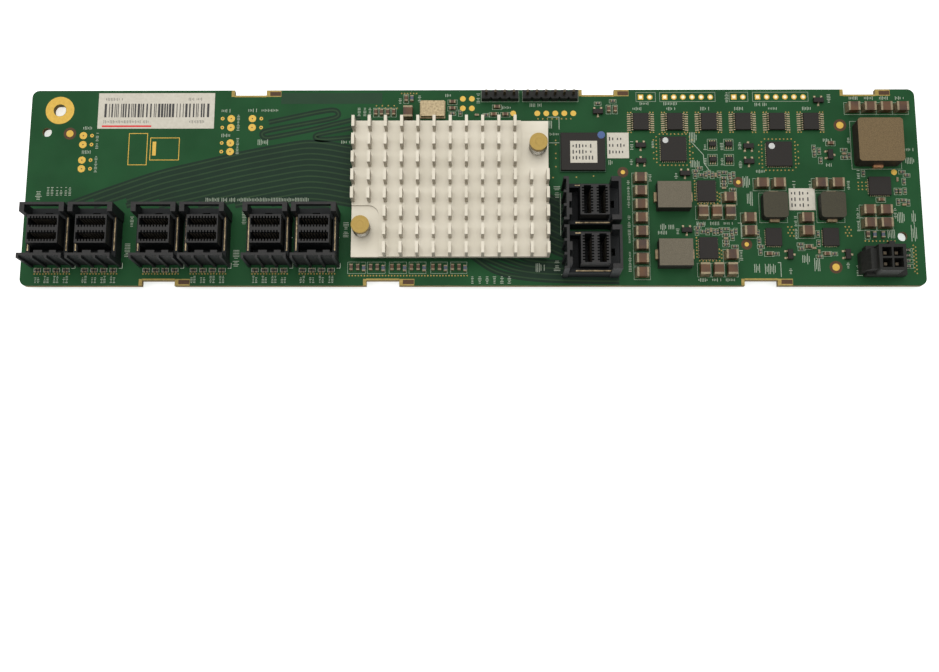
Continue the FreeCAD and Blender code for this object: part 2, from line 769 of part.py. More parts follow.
for column in (-1, 1):
    for rank in (-1, 1):
        x = "%d * power_pitch / 2" % column
        y = "%d * power_pitch / 2" % rank
        rectangle(cells, x, y, "power_cell", "power_cell")
        rectangle(pin_ways, x, y, "power_pin", "power_pin")
        power_pins.append(box("power_pin", "power_pin", "power_pin",
                              "power_pin_height + board_thickness + power_pin_tail", "power_x + " + x,
                              "power_y + " + y, "stand_height - power_pin_tail"))
        board_holes.append(prism("power_pin_hole", hole_sides, "power_pin_hole", "board_thickness",
                                 "power_x + " + x, "power_y + " + y, "stand_height"))
pocket(power, "power_cells", cells, "power_height - power_cell_floor")
pocket(power, "power_pin_ways", pin_ways, "power_cell_floor")
pegs = []
for hand in (-1, 1):
    x = "%d * power_peg_x" % hand
    pegs.append(prism("power_peg", hole_sides, "power_peg", "power_peg_length", x, "power_peg_offset",
                      "-power_peg_length"))
    board_holes.append(prism("power_peg_hole", hole_sides, "power_peg + 2 * power_peg_clearance",
                             "board_thickness", "power_x + " + x, "power_y + power_peg_offset",
                             "stand_height"))
power_housing = joined("power_receptacle_housing", [power] + pegs)
move(power_housing, "power_x", "power_y", "board_top")
finish(power_housing, "power_receptacle_housing")
finish(group("power_receptacle_pins", power_pins), "power_receptacle_pins")


def choke(label, length, width, height, x, y, lug_axis, round_edges):
    # Pressed core with a terminal lug at two opposite sides
    core = new_body(label + "_core")
    profile = sketch(core, label + "_outline", "XY_Plane")
    rectangle(profile, "0", "0", length, width)
    block = pad(core, label + "_block", profile, height)
    if round_edges:
        rounded(core, label + "_edges", block, lambda at: True, "choke_edge")
    move(core, x, y, "board_top")
    finish(core, label + "_core")
    lugs = []
    for hand in (-1, 1):
        if lug_axis == "x":
            lugs.append(box(label + "_lug", "choke_lug_reach", "choke_lug_width", "choke_lug_height",
                            "%s + %d * (%s + choke_lug_reach) / 2" % (x, hand, length), y, "board_top"))
        else:
            lugs.append(box(label + "_lug", "choke_lug_width", "choke_lug_reach", "choke_lug_height",
                            x, "%s + %d * (%s + choke_lug_reach) / 2" % (y, hand, width), "board_top"))
    finish(group(label + "_lugs", lugs), label + "_lugs")


def from_right(inset):
    return "right_end - %s" % inset


# Two identical converter cells one above the other, two square chokes and the input choke
cell_places = [("cell_x", "cell_y"), ("cell_x", "cell_y - cell_pitch")]
for label, (x, y) in zip(("upper", "lower"), cell_places):
    choke("choke_" + label, "cell_choke_length", "cell_choke_width", "cell_choke_height", x, y, "x", False)
for label in ("left", "right"):
    choke("choke_" + label, "square_choke_length", "square_choke_width", "square_choke_height",
          from_right(label + "_choke_inset"), "square_choke_y", "y", True)
choke("input_choke", "input_choke_size", "input_choke_size", "input_choke_height",
      from_right("input_choke_inset"), "input_choke_y", "y", True)

# Flat leadless chips of the converters
stage_chips = []
for x, y in cell_places:
    stage_chips.append(box("stage_chip", "cell_chip_length", "cell_chip_width", "flat_chip_height",
                           x + " + cell_chip_across", y + " + cell_chip_up", "board_top"))
for label in ("left", "right"):
    stage_chips.append(box("stage_chip", "small_chip_length", "small_chip_width", "flat_chip_height",
                           from_right(label + "_chip_inset"), "small_chip_y", "board_top"))
stage_chips.append(box("stage_chip", "input_chip_length", "input_chip_width", "flat_chip_height",
                       from_right("input_chip_inset"), "input_chip_y", "board_top"))
finish(group("power_stage_chips", stage_chips), "power_stage_chips")

# Square monitor chips, each at a distance from the right end and a height above the middle line
monitor_places = ((67.4, 10.5), (38.4, 9))
monitor_chips = []
for inset, y in monitor_places:
    monitor_chips.append(box("monitor_chip", "monitor_chip", "monitor_chip", "flat_chip_height",
                             from_right(inset), y, "board_top"))
finish(group("monitor_chips", monitor_chips), "monitor_chips")

# Driver chips with a row of leads down either side, each lead sloping from the body to the board
lead_form = extruded("lead_form", [("0", "0"), ("lead_reach", "0"), ("0", "lead_height")], "lead_width")
drivers = []
leads = []
for index in range(int(sheet.driver_count)):
    x = "right_end - driver_inset + %d * driver_pitch" % index
    drivers.append(box("driver_chip", "driver_length", "driver_width", "driver_height", x, "driver_y",
                       "board_top"))
    for hand in (-1, 1):
        for lead in range(int(sheet.driver_leads)):
            leads.append(copy_of("driver_lead", lead_form, "%s + %d * driver_length / 2" % (x, hand),
                                 "driver_y + (%d - (driver_leads - 1) / 2) * lead_pitch" % lead,
                                 "board_top", -90 * hand))
finish(group("driver_chips", drivers), "driver_chips")
finish(group("driver_chip_leads", leads), "driver_chip_leads")

# Small transistors: distance from the right end, y, and whether the long side runs along X
transistor_places = ((76.4, 11.6, True), (76.4, 7.1, True), (64.4, 3.5, True), (64.4, -12.6, True),
                     (46.7, 11.3, True), (46.7, 6.9, True), (26.8, 24.6, True), (88, 21.4, True),
                     (24.3, 8.9, False), (36.6, -19.4, False), (21, -19.4, False))
dual_insets = (56.6, 52.1)
dual_heights = (11.9, 7.5)
transistors = []
for inset, y, lengthwise in transistor_places:
    length, width = "transistor_length", "transistor_width"
    if not lengthwise:
        length, width = width, length
    transistors.append(box("transistor", length, width, "small_body_height", from_right(inset), y,
                           "board_top"))
for inset in dual_insets:
    for y in dual_heights:
        transistors.append(box("dual_transistor", "dual_length", "dual_width", "small_body_height",
                               from_right(inset), y, "board_top"))
transistors.append(box("transistor", "transistor_length", "transistor_width", "small_body_height",
                       from_right("under_transistor_inset"), "under_transistor_y",
                       "stand_height - small_body_height"))
finish(group("small_transistors", transistors), "small_transistors")


def capacitor(x, y, lengthwise, underside=False, size="capacitor"):
    length, width = size + "_length", size + "_width"
    if not lengthwise:
        length, width = width, length
    base = "stand_height - capacitor_height" if underside else "board_top"
    return box("ceramic_capacitor", length, width, "capacitor_height", x, y, base)


# Large ceramic capacitors on the component side: round the cells, the square chokes and the power inlet
cell_offsets = ((15.4, -0.1, True), (8, -4.1, False), (11.7, -4.1, False), (15.4, -4.1, False))
stage_insets = (47.4, 31.8)
stage_heights = (-9.4, -13.1)
output_insets = (43.6, 39, 27.6, 23)
output_height = 0.4
inlet_insets = (14.9, 10.4)
inlet_heights = (-7.2, -10.9)
row_count = 4
top_capacitors = [capacitor("lone_capacitor_x", "lone_capacitor_y", False)]
for index in range(int(sheet.column_count)):
    top_capacitors.append(capacitor(from_right("column_inset"), "column_top - %d * column_pitch" % index,
                                    True))
for x, y in cell_places:
    for across, up, lengthwise in cell_offsets:
        top_capacitors.append(capacitor("%s + %s" % (x, across), "%s + %s" % (y, up), lengthwise))
for inset in stage_insets:
    for y in stage_heights:
        top_capacitors.append(capacitor(from_right(inset), y, True))
for inset in output_insets:
    top_capacitors.append(capacitor(from_right(inset), output_height, True))
for index in range(row_count):
    top_capacitors.append(capacitor(from_right("input_row_inset + %d * input_row_pitch" % index),
                                    "input_row_y", True))
for inset in inlet_insets:
    for y in inlet_heights:
        top_capacitors.append(capacitor(from_right(inset), y, True))
finish(group("top_capacitors", top_capacitors), "top_capacitors")

# Large ceramic capacitors on the solder side, behind the same places
under_cell_offsets = ((-9.3, 4.4, True), (-9.3, 0.5, True), (-9.3, -3.4, True), (-1.8, 0.3, True),
                      (15.4, 0.3, True), (-1, 4.7, False), (-4.7, 4.7, False), (-1, -4.5, False),
                      (-4.7, -4.5, False), (13.5, -4.5, False), (9.5, -4.5, False))
under_stage_insets = (47.4, 31.5)
under_stage_heights = (-9.3, -13)
under_output_insets = (44.2, 40.4, 36.7, 28.5, 24.7, 21)
under_output_height = -5
under_inlet_insets = (14.7, 10)
under_inlet_heights = (-7, -10.9)
rank_count = 3
bottom_capacitors = [capacitor("lone_capacitor_x", "lone_capacitor_y", False, True)]
for index in range(int(sheet.bulk_count)):
    bottom_capacitors.append(capacitor("bulk_first_x - %d * bulk_pitch" % index, "near_side + bulk_inset",
                                       False, True, "bulk_capacitor"))
for x, y in cell_places:
    for across, up, lengthwise in under_cell_offsets:
        bottom_capacitors.append(capacitor("%s + %s" % (x, across), "%s + %s" % (y, up), lengthwise, True))
for inset in under_stage_insets:
    for y in under_stage_heights:
        bottom_capacitors.append(capacitor(from_right(inset), y, True, True))
for inset in under_output_insets:
    bottom_capacitors.append(capacitor(from_right(inset), under_output_height, False, True))
for inset in under_inlet_insets:
    for y in under_inlet_heights:
        bottom_capacitors.append(capacitor(from_right(inset), y, True, True))
for index in range(row_count):
    bottom_capacitors.append(capacitor(from_right("under_row_inset + %d * under_row_pitch" % index),
                                       "under_row_y", True, True))
for index in range(rank_count):
    bottom_capacitors.append(capacitor(from_right("under_rank_inset + %d * under_rank_pitch" % index),
                                       "under_rank_y", False, True))
finish(group("bottom_capacitors", bottom_capacitors), "bottom_capacitors")

# Paper labels
label_places = (("long", "left_end + long_label_inset", "board_top"),
                ("chip", "chip_label_x", "board_top + controller_height"),
                ("side", "side_label_x", "board_top"),
                ("choke", from_right("choke_label_inset"), "board_top"))
labels = []
for kind, x, z in label_places:
    size = kind + "_label_"
    labels.append(box("label", size + "length", size + "width", "label_thickness", x, size + "y", z))
finish(group("paper_labels", labels), "paper_labels")

# Circuit board: the plate, its notches and its holes
board = new_body("board_plate")
outline = sketch(board, "board_outline", "XY_Plane", "stand_height")
rectangle(outline, "0", "0", "board_length", "board_width")
board_sheet = pad(board, "board_sheet", outline, "board_thickness")
rounded(board, "board_corners", board_sheet, lambda at: True, "board_corner")
for side in ("far", "near"):
    for middle in ("left_end + %s_notch_left_inset", "%s_notch_x", "right_end - %s_notch_right_inset"):
        board_holes.append(box("edge_notch", "notch_length", "2 * notch_depth", "board_thickness",
                               middle % side, side + "_side", "stand_height"))
for name, x, y in (("mounting_hole", "left_end + mounting_inset_end", "far_side - mounting_inset_side"),
                   ("tooling_hole", "left_end + tooling_inset_left", "tooling_height_left"),
                   ("tooling_hole", "right_end - tooling_inset_right", "tooling_height_right")):
    board_holes.append(cylinder(name, name, "board_thickness", x, y, "stand_height"))
finish(cut("circuit_board", board, group("board_hole_set", board_holes)), "circuit_board")

doc.recompute()
for thing in doc.Objects:
    for mark in ("Invalid", "Error"):
        if mark in thing.State:
            raise RuntimeError("%s is %s" % (thing.Label, mark))
for thing in finished:
    if thing.Shape.isNull() or not thing.Shape.isValid() or not thing.Shape.Solids:
        raise RuntimeError("%s has no valid solid" % thing.Label)

os.makedirs("parts", exist_ok=True)
for thing in finished:
    thing.Shape.exportStep(os.path.join("parts", thing.Label + ".step"))
print("%d sub-parts, %d solids" % (len(finished), sum(len(thing.Shape.Solids) for thing in finished)))
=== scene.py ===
import bmesh
import bpy
import math
import random
from mathutils import Matrix, Vector


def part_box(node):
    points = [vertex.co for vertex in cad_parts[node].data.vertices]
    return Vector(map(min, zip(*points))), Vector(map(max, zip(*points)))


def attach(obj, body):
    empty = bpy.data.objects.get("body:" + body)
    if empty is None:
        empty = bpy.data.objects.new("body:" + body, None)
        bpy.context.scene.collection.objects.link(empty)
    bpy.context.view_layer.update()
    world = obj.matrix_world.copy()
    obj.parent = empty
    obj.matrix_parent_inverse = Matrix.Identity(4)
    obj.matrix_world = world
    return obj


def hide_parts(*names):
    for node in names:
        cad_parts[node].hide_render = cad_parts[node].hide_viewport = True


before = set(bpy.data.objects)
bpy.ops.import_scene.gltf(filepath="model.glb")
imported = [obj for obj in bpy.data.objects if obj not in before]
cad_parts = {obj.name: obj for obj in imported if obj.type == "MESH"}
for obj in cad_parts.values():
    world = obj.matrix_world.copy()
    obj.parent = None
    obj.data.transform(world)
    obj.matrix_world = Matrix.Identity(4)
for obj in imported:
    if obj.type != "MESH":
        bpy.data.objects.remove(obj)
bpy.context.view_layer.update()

mm = 0.001
boardLow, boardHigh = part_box("circuit_board")
boardUnder, boardTop = boardLow.z, boardHigh.z
print("frame loaded:", len(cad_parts), "nodes")


def ink(red, green, blue):
    # a colour as a paint chart gives it, 0 to 255, turned into the shader's own scale
    shares = [part / 255 for part in (red, green, blue)]
    return tuple(s / 12.92 if s <= 0.04045 else ((s + 0.055) / 1.055) ** 2.4 for s in shares) + (1.0,)


# shader sums written as plain Python
class Amount:
    def __init__(self, finish, socket):
        self.finish = finish
        self.socket = socket

    def __add__(self, other):
        return self.finish.sum("ADD", self, other)

    def __mul__(self, other):
        return self.finish.sum("MULTIPLY", self, other)

    def __gt__(self, other):
        return self.finish.sum("GREATER_THAN", self, other)

    def __lt__(self, other):
        return self.finish.sum("LESS_THAN", self, other)

    __radd__ = __add__
    __rmul__ = __mul__


coarse, middling, fine = 2.0, 3.0, 4.0  # detail of a noise


class Finish:
    def __init__(self, name, **plain):
        self.material = bpy.data.materials.new(name)
        self.material.use_nodes = True
        self.tree = self.material.node_tree
        self.shader = self.tree.nodes["Principled BSDF"]
        self.paint(**plain)

    def pick(self, sockets, key):
        if isinstance(key, int):
            return sockets[key]
        return next(s for s in sockets if s.name == key and s.enabled)

    def plug(self, socket, value):
        if isinstance(value, Amount):
            self.tree.links.new(value.socket, socket)
        else:
            socket.default_value = value

    def node(self, kind, settings, sockets, out=0):
        made = self.tree.nodes.new("ShaderNode" + kind)
        for key, value in settings.items():
            setattr(made, key, value)
        for key, value in sockets.items():
            self.plug(self.pick(made.inputs, key), value)
        return Amount(self, self.pick(made.outputs, out))

    def sum(self, operation, first, second):
        return self.node("Math", {"operation": operation}, {0: first, 1: second})

    def paint(self, **values):
        names = {"colour": "Base Color", "rough": "Roughness", "metal": "Metallic", "normal": "Normal",
                 "specular": "Specular IOR Level", "glow": "Emission Color", "glowing": "Emission Strength"}
        for key, value in values.items():
            self.plug(self.shader.inputs[names[key]], value)

    def place(self):
        return self.node("TexCoord", {}, {}, "Object")

    def axis(self, vector, letter):
        return self.node("SeparateXYZ", {}, {0: vector}, letter)

    def facing(self):
        # 1 on a face that looks straight up, 0 on an upright one
        return self.axis(self.node("TexCoord", {}, {}, "Normal"), "Z")

    def noise(self, grain, detail=middling, stretch=(1, 1, 1)):
        # grain is the size of one speck in millimetres
        spread = tuple(s / (grain * mm) for s in stretch)
        spot = self.node("Mapping", {}, {"Vector": self.place(), "Scale": spread}, "Vector")
        return self.node("TexNoise", {}, {"Vector": spot, "Scale": 1.0, "Detail": detail}, "Fac")

    def between(self, value, low=0.3, high=0.7):
        # 0 up to the low value, 1 from the high one on
        return self.node("MapRange", {"clamp": True}, {"Value": value, "From Min": low, "From Max": high})

    def blend(self, share, first, second):
        return self.node("Mix", {"data_type": "RGBA"}, {"Factor": share, "A": first, "B": second}, "Result")

    def tones(self, share, dark, pale):
        return self.blend(share, ink(*dark), ink(*pale))

    def tooth(self, grain, depth, detail=middling):
        # a fine relief, grain and depth in millimetres
        return self.node("Bump", {}, {"Height": self.noise(grain, detail), "Distance": depth * mm})


def uneven(share, least, more):
    return least + more * share


flatFrom = 0.5  # a face counts as a top from this much of looking up, and as upright below it

# green solder mask over copper on both faces, bare glass laminate round the edge
maskLook = {"topPour": (26, 69, 37), "topPatch": (31, 78, 43), "underPour": (18, 124, 58),
            "underPatch": (30, 140, 72), "edgePale": (150, 124, 66), "edgeDark": (88, 70, 34),
            "patch": 14.0, "patchTurn": (0.35, 0.65), "layer": 0.2, "layerTurn": (0.4, 0.6),
            "layerFlat": (0.02, 0.02, 1), "wear": 3.0, "rough": (0.42, 0.2), "tooth": (0.35, 0.012, fine)}


def solderMask():
    mask = Finish("solder_mask", specular=0.1)
    facing = mask.facing()
    patches = mask.between(mask.noise(maskLook["patch"], coarse), *maskLook["patchTurn"])
    top = mask.tones(patches, maskLook["topPour"], maskLook["topPatch"])
    under = mask.tones(patches, maskLook["underPour"], maskLook["underPatch"])
    faces = mask.blend(facing > 0, under, top)
    layers = mask.noise(maskLook["layer"], coarse, maskLook["layerFlat"])
    edge = mask.tones(mask.between(layers, *maskLook["layerTurn"]), maskLook["edgeDark"],
                      maskLook["edgePale"])
    upright = (facing < flatFrom) * (facing > -flatFrom)
    mask.paint(colour=mask.blend(upright, faces, edge),
               rough=uneven(mask.noise(maskLook["wear"]), *maskLook["rough"]),
               normal=mask.tooth(*maskLook["tooth"]))
    return mask.material


# clear anodised aluminium, drawn along its length, its upright faces painted darker as painted shade
aluminium = {"dark": (197, 190, 173), "pale": (209, 202, 186), "side": (182, 175, 160), "cloud": 9.0,
             "drawn": 1.2, "drawnLong": (0.05, 1, 1), "rough": (0.42, 0.16), "tooth": (0.12, 0.006, fine)}


def anodised():
    look = Finish("clear_anodised", metal=0.3, specular=0.25)
    drawn = look.noise(aluminium["drawn"], middling, aluminium["drawnLong"])
    cloud = look.between(look.noise(aluminium["cloud"], coarse))
    flat = look.tones(cloud, aluminium["dark"], aluminium["pale"])
    # upright faces take the side tone, a painted shade for the little light they get from above
    look.paint(colour=look.blend(look.facing() > flatFrom, ink(*aluminium["side"]), flat),
               rough=uneven(drawn, *aluminium["rough"]), normal=look.tooth(*aluminium["tooth"]))
    return look.material


# turned brass, paler below the board
brass = {"turned": (136, 113, 58), "belowBoard": (232, 220, 190), "wear": 0.6, "rough": (0.3, 0.18),
         "tooth": (0.15, 0.01)}


def pinBrass():
    look = Finish("turned_brass", metal=0.7, specular=0.4)
    low = look.axis(look.place(), "Z") < boardUnder
    colour = look.tones(low, brass["turned"], brass["belowBoard"])
    look.paint(colour=colour, rough=uneven(look.noise(brass["wear"]), *brass["rough"]),
               normal=look.tooth(*brass["tooth"]))
    return look.material


# receptacle moulding: near black in its wells as painted shade, its upper rims and the tops of the slot
# blocks dull grey as painted light
wells = {
    "well": ((19, 21, 22), (27, 29, 30)), "rim": ((44, 43, 43), (56, 55, 54)), "paintedLightFrom": 7, "paintedLightTo": 9,
    "speck": 0.5, "rough": (0.5, 0.1), "tooth": (0.12, 0.01),
}


def receptacleBlack():
    look = Finish("receptacle_black", specular=0.15)
    height = look.axis(look.place(), "Z")
    high = look.between(height, boardTop + wells["paintedLightFrom"] * mm, boardTop + wells["paintedLightTo"] * mm)
    specks = look.between(look.noise(wells["speck"], fine))
    well, rim = [look.tones(specks, *wells[part]) for part in ("well", "rim")]
    # upward faces above the rim heights take the painted light, all else the painted shade
    look.paint(colour=look.blend((look.facing() > flatFrom) * high, well, rim),
               rough=uneven(specks, *wells["rough"]), normal=look.tooth(*wells["tooth"]))
    return look.material


# pressed iron powder: speckled on top, its upright sides painted nearly black as painted shade
iron = {"speck": 0.22, "rough": (0.55, 0.12), "tooth": (0.12, 0.03)}


def pressedIron(name, dark, pale, side):
    look = Finish(name, metal=0.1, specular=0.3)
    specks = look.between(look.noise(iron["speck"], fine))
    top = look.tones(specks, dark, pale)
    # the side tone on upright faces is painted shade
    look.paint(colour=look.blend(look.facing() > flatFrom, ink(*side), top),
               rough=uneven(specks, *iron["rough"]), normal=look.tooth(*iron["tooth"]))
    return look.material


# two tones of one surface in specks, with a fine tooth
speckDull, speckDeep = 0.12, 0.01  # how much roughness varies from speck to speck, and the tooth's depth


def speckled(name, dark, pale, grain, tooth, rough, metal=0.0, specular=0.5):
    look = Finish(name, metal=metal, specular=specular)
    specks = look.between(look.noise(grain, fine))
    look.paint(colour=look.tones(specks, dark, pale), rough=uneven(specks, rough - speckDull / 2, speckDull),
               normal=look.tooth(tooth, speckDeep))
    return look.material


# dark and pale tone, grain, tooth, roughness, then metal and specular where they aren't plain
speckles = {
    "black_moulding": ((28, 28, 26), (40, 40, 37), 0.5, 0.12, 0.5, 0, 0.15),
    "chip_epoxy": ((20, 17, 13), (30, 25, 20), 0.25, 0.08, 0.5, 0, 0.2),
    "chip_substrate": ((28, 66, 42), (36, 80, 52), 1.0, 0.2, 0.45),
    "chip_lid": ((160, 160, 158), (184, 184, 182), 0.8, 0.2, 0.34, 0.9),
    "thermal_filler": ((128, 128, 134), (150, 150, 156), 0.4, 0.2, 0.7),
    "spring_wire": ((150, 146, 136), (182, 178, 168), 0.5, 0.2, 0.28, 0.95),
    # contacts: a dull bronze-grey, darker than their gold plating as painted shade deep in the slots
    "contact_metal_painted_shade": ((84, 78, 68), (110, 102, 88), 0.4, 0.2, 0.45, 0.5),
    # pins darkened far below their tin as painted shade down in their cells
    "pin_tin_painted_shade": ((46, 38, 26), (72, 60, 38), 0.5, 0.2, 0.45, 0.5),
    "hold_down_tin": ((84, 70, 48), (198, 176, 136), 1.1, 0.15, 0.4, 0.5),
    "tinned_metal": ((176, 164, 140), (208, 197, 172), 0.5, 0.15, 0.36, 0.8),
    "dull_lead": ((124, 110, 86), (162, 146, 118), 0.5, 0.15, 0.4, 0.5),
    "dull_lug": ((112, 96, 70), (150, 130, 98), 0.6, 0.15, 0.4, 0.5),
    "copper_lug": ((176, 122, 84), (206, 152, 110), 0.4, 0.15, 0.36, 0.7),
    "dull_terminal": ((104, 91, 67), (138, 124, 97), 0.7, 0.15, 0.42, 0.4),
    "bright_terminal": ((168, 158, 138), (198, 189, 170), 0.7, 0.15, 0.42, 0.4),
    "capacitor_ceramic": ((54, 33, 20), (98, 66, 37), 5.0, 0.1, 0.42, 0, 0.3),
    "amber_ceramic": ((138, 99, 56), (176, 134, 83), 5.0, 0.1, 0.42, 0, 0.3),
    "chip_tan": ((112, 90, 62), (140, 116, 82), 3.0, 0.1, 0.45),
    "chip_black": ((24, 23, 22), (36, 34, 32), 0.5, 0.1, 0.42),
    "chip_blue": ((34, 44, 62), (50, 60, 80), 0.5, 0.1, 0.4),
    "gilded_can": ((124, 108, 78), (176, 158, 122), 0.6, 0.12, 0.42, 0.4),
    "plated_gold": ((176, 140, 46), (194, 158, 62), 0.8, 0.3, 0.4, 0.4),
    "stopped_via": ((138, 112, 50), (168, 138, 68), 0.6, 0.3, 0.4, 0.4),
    "tented_via": ((46, 112, 72), (60, 128, 84), 0.6, 0.3, 0.5, 0, 0.1),
    # the dark middle of a land with a hole is painted shade down the hole
    "hole_painted_shade": ((38, 30, 16), (56, 44, 24), 0.4, 0.2, 0.6),
    "bare_laminate": ((150, 126, 60), (180, 156, 86), 0.7, 0.2, 0.5, 0, 0.25),
    "bare_laminate_brown": ((62, 40, 19), (82, 54, 28), 0.7, 0.2, 0.5, 0, 0.25),
    "lane_bed_top": ((23, 43, 30), (29, 50, 36), 6.0, 0.3, 0.5, 0, 0.1),
    "lane_line_top": ((40, 63, 41), (48, 71, 47), 6.0, 0.3, 0.5, 0, 0.1),
    "dark_field_top": ((37, 63, 44), (43, 69, 49), 6.0, 0.3, 0.5, 0, 0.1),
    "lane_bed_under": ((20, 70, 44), (26, 80, 52), 6.0, 0.3, 0.5, 0, 0.1),
    "lane_line_under": ((48, 104, 66), (58, 116, 74), 6.0, 0.3, 0.5, 0, 0.1),
    "white_silk": ((196, 202, 186), (222, 226, 212), 0.3, 0.1, 0.6, 0, 0.2),
    "dull_silk": ((166, 175, 156), (192, 200, 182), 0.3, 0.1, 0.6, 0, 0.2),
    "thin_silk": ((142, 156, 136), (166, 178, 158), 0.3, 0.1, 0.6, 0, 0.2),
    "label_paper": ((204, 198, 182), (216, 210, 195), 0.8, 0.1, 0.68, 0, 0.2),
    "label_black": ((26, 24, 23), (40, 38, 36), 0.4, 0.1, 0.6),
    "label_red": ((204, 24, 24), (220, 36, 34), 0.6, 0.1, 0.55),
    "blue_paint": ((48, 76, 128), (60, 90, 142), 0.5, 0.2, 0.5),
    "white_paint": ((190, 192, 188), (212, 212, 208), 0.5, 0.2, 0.55),
}
# the third tone of each iron is the painted shade of its sides
irons = {"pressed_iron": ((88, 82, 67), (114, 106, 89), (30, 27, 23)),
         "bronzed_iron": ((84, 69, 44), (128, 107, 73), (36, 29, 22)),
         "grey_iron": ((48, 45, 32), (66, 62, 46), (26, 24, 20))}
looks = {name: speckled(name, *row) for name, row in speckles.items()}
looks.update({name: pressedIron(name, *row) for name, row in irons.items()})
looks.update({made.name: made for made in (solderMask(), anodised(), pinBrass(), receptacleBlack())})
print("finishes made:", len(looks))

# the finish by a word in the node's name, the first that fits
nodeLooks = [
    ("circuit_board", "solder_mask"), ("heatsink", "clear_anodised"), ("thermal", "thermal_filler"),
    ("substrate", "chip_substrate"), ("lid", "chip_lid"), ("spring", "spring_wire"),
    ("push_pin", "turned_brass"), ("contacts", "contact_metal_painted_shade"), ("hold_downs", "hold_down_tin"),
    ("leads", "tinned_metal"), ("input_choke_lugs", "copper_lug"), ("lugs", "dull_lug"),
    ("pins", "pin_tin_painted_shade"), ("oscillator", "gilded_can"), ("input_choke", "bronzed_iron"),
    ("choke_left", "grey_iron"), ("choke_right", "grey_iron"), ("choke", "pressed_iron"),
    ("capacitors", "capacitor_ceramic"), ("labels", "label_paper"), ("housing", "black_moulding"),
    ("strip", "black_moulding"), ("chip", "chip_epoxy"), ("transistors", "chip_epoxy"),
]
for name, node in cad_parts.items():
    node.data.materials.clear()
    node.data.materials.append(looks[next(look for word, look in nodeLooks if word in name)])
print("carried-over nodes dressed")


# modelling by hand: sizes in millimetres, faces chosen by their place or normal
squareOn = 0.9  # how far a face has to look along an axis
touching = 0.001  # places as near as this are one
sunk = 0.03  # how far flat things reach into the board's face
hands = (-1, 1)


def everywhere(spot, facing):
    return True


def upward(spot, facing):
    return facing.z > squareOn


def leave():
    bpy.ops.object.mode_set(mode="OBJECT")


def clearSelection():
    if bpy.context.object and bpy.context.object.mode != "OBJECT":
        leave()
    bpy.ops.object.select_all(action="DESELECT")


def hold(piece):
    # the only thing selected, and the active one
    clearSelection()
    piece.select_set(True)
    bpy.context.view_layer.objects.active = piece


def named(piece, name, *finish):
    piece.name = name
    piece.data.name = name
    if finish:
        piece.data.materials.clear()
    for look in finish:
        piece.data.materials.append(looks[look])
    return piece


def settled():
    # the new primitive with its place, turn and size in its mesh
    bpy.ops.object.transform_apply(location=True, rotation=True, scale=True)
    return bpy.context.object


def block(size, centre):
    clearSelection()
    bpy.ops.mesh.primitive_cube_add(size=1, location=[c * mm for c in centre])
    bpy.context.object.scale = [s * mm for s in size]
    return settled()


def drum(sides, radius, low, high, x=0.0, y=0.0):
    clearSelection()
    bpy.ops.mesh.primitive_cylinder_add(vertices=sides, radius=radius * mm, depth=(high - low) * mm,
                                        location=(x * mm, y * mm, (low + high) / 2 * mm))
    return settled()


def choose(piece, wanted):
    # into edit mode with the wanted faces selected
    hold(piece)
    bpy.ops.object.mode_set(mode="EDIT")
    bpy.ops.mesh.select_mode(type="FACE")
    bpy.ops.mesh.select_all(action="DESELECT")
    mesh = bmesh.from_edit_mesh(piece.data)
    for face in mesh.faces:
        if wanted(face.calc_center_median() / mm, face.normal):
            face.select_set(True)
    bmesh.update_edit_mesh(piece.data)


def paintChosen(piece, slot):
    piece.active_material_index = slot
    bpy.ops.object.material_slot_assign()


def terrace(rim, rise):
    # the chosen face inset by the rim and moved up
    bpy.ops.mesh.inset(thickness=rim * mm)
    bpy.ops.transform.translate(value=(0, 0, rise * mm))


def dish(piece, rim, rise, slot=0):
    choose(piece, upward)
    terrace(rim, rise)
    if slot:
        paintChosen(piece, slot)
    leave()


def taper(piece, wanted, factors, centre):
    choose(piece, wanted)
    bpy.ops.transform.resize(value=factors, center_override=[c * mm for c in centre])
    leave()


def drawOut(x, z):
    bpy.ops.mesh.extrude_region_move(TRANSFORM_OT_translate={"value": (x * mm, 0, z * mm)})


def sliceAt(piece, at, normal):
    choose(piece, everywhere)
    bpy.ops.mesh.bisect(plane_co=[a * mm for a in at], plane_no=normal)
    leave()


def faceOut():
    bpy.ops.mesh.select_all(action="SELECT")
    bpy.ops.mesh.normals_make_consistent(inside=False)
    leave()


def modify(piece, kind, **settings):
    hold(piece)
    modifier = piece.modifiers.new(kind.lower(), kind)
    for key, value in settings.items():
        setattr(modifier, key, value)
    bpy.ops.object.modifier_apply(modifier=modifier.name)


def soften(piece, width, segments=2, angle=40):
    modify(piece, "BEVEL", width=width * mm, segments=segments, limit_method="ANGLE",
           angle_limit=math.radians(angle), harden_normals=False)


def joinUp(name, things):
    clearSelection()
    for thing in things:
        thing.select_set(True)
    bpy.context.view_layer.objects.active = things[0]
    if len(things) > 1:
        bpy.ops.object.join()
    return named(bpy.context.object, name)


def copyTo(master, matrix):
    copy = master.copy()
    copy.data = master.data.copy()
    copy.data.transform(matrix)
    bpy.context.collection.objects.link(copy)
    return copy


def about(turn):
    return Matrix.Rotation(math.radians(turn), 4, "Z")


def seat(place, underside=False):
    # from a master that stands on the origin to one face of the board: x, y and perhaps a turn in degrees
    x, y, turn = (*place, 0)[:3]
    face = boardUnder if underside else boardTop
    flip = Matrix.Rotation(math.pi if underside else 0, 4, "X")
    return Matrix.Translation((x * mm, y * mm, face)) @ flip @ about(turn)


def lay(master, places, underside=False):
    return [copyTo(master, seat(place, underside)) for place in places]


def drop(*masters):
    for master in masters:
        bpy.data.objects.remove(master)


def carry(piece, slot=None, *replaced):
    # every piece rides on the board's one body
    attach(piece, "root")
    if replaced:
        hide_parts(*replaced)
    return piece


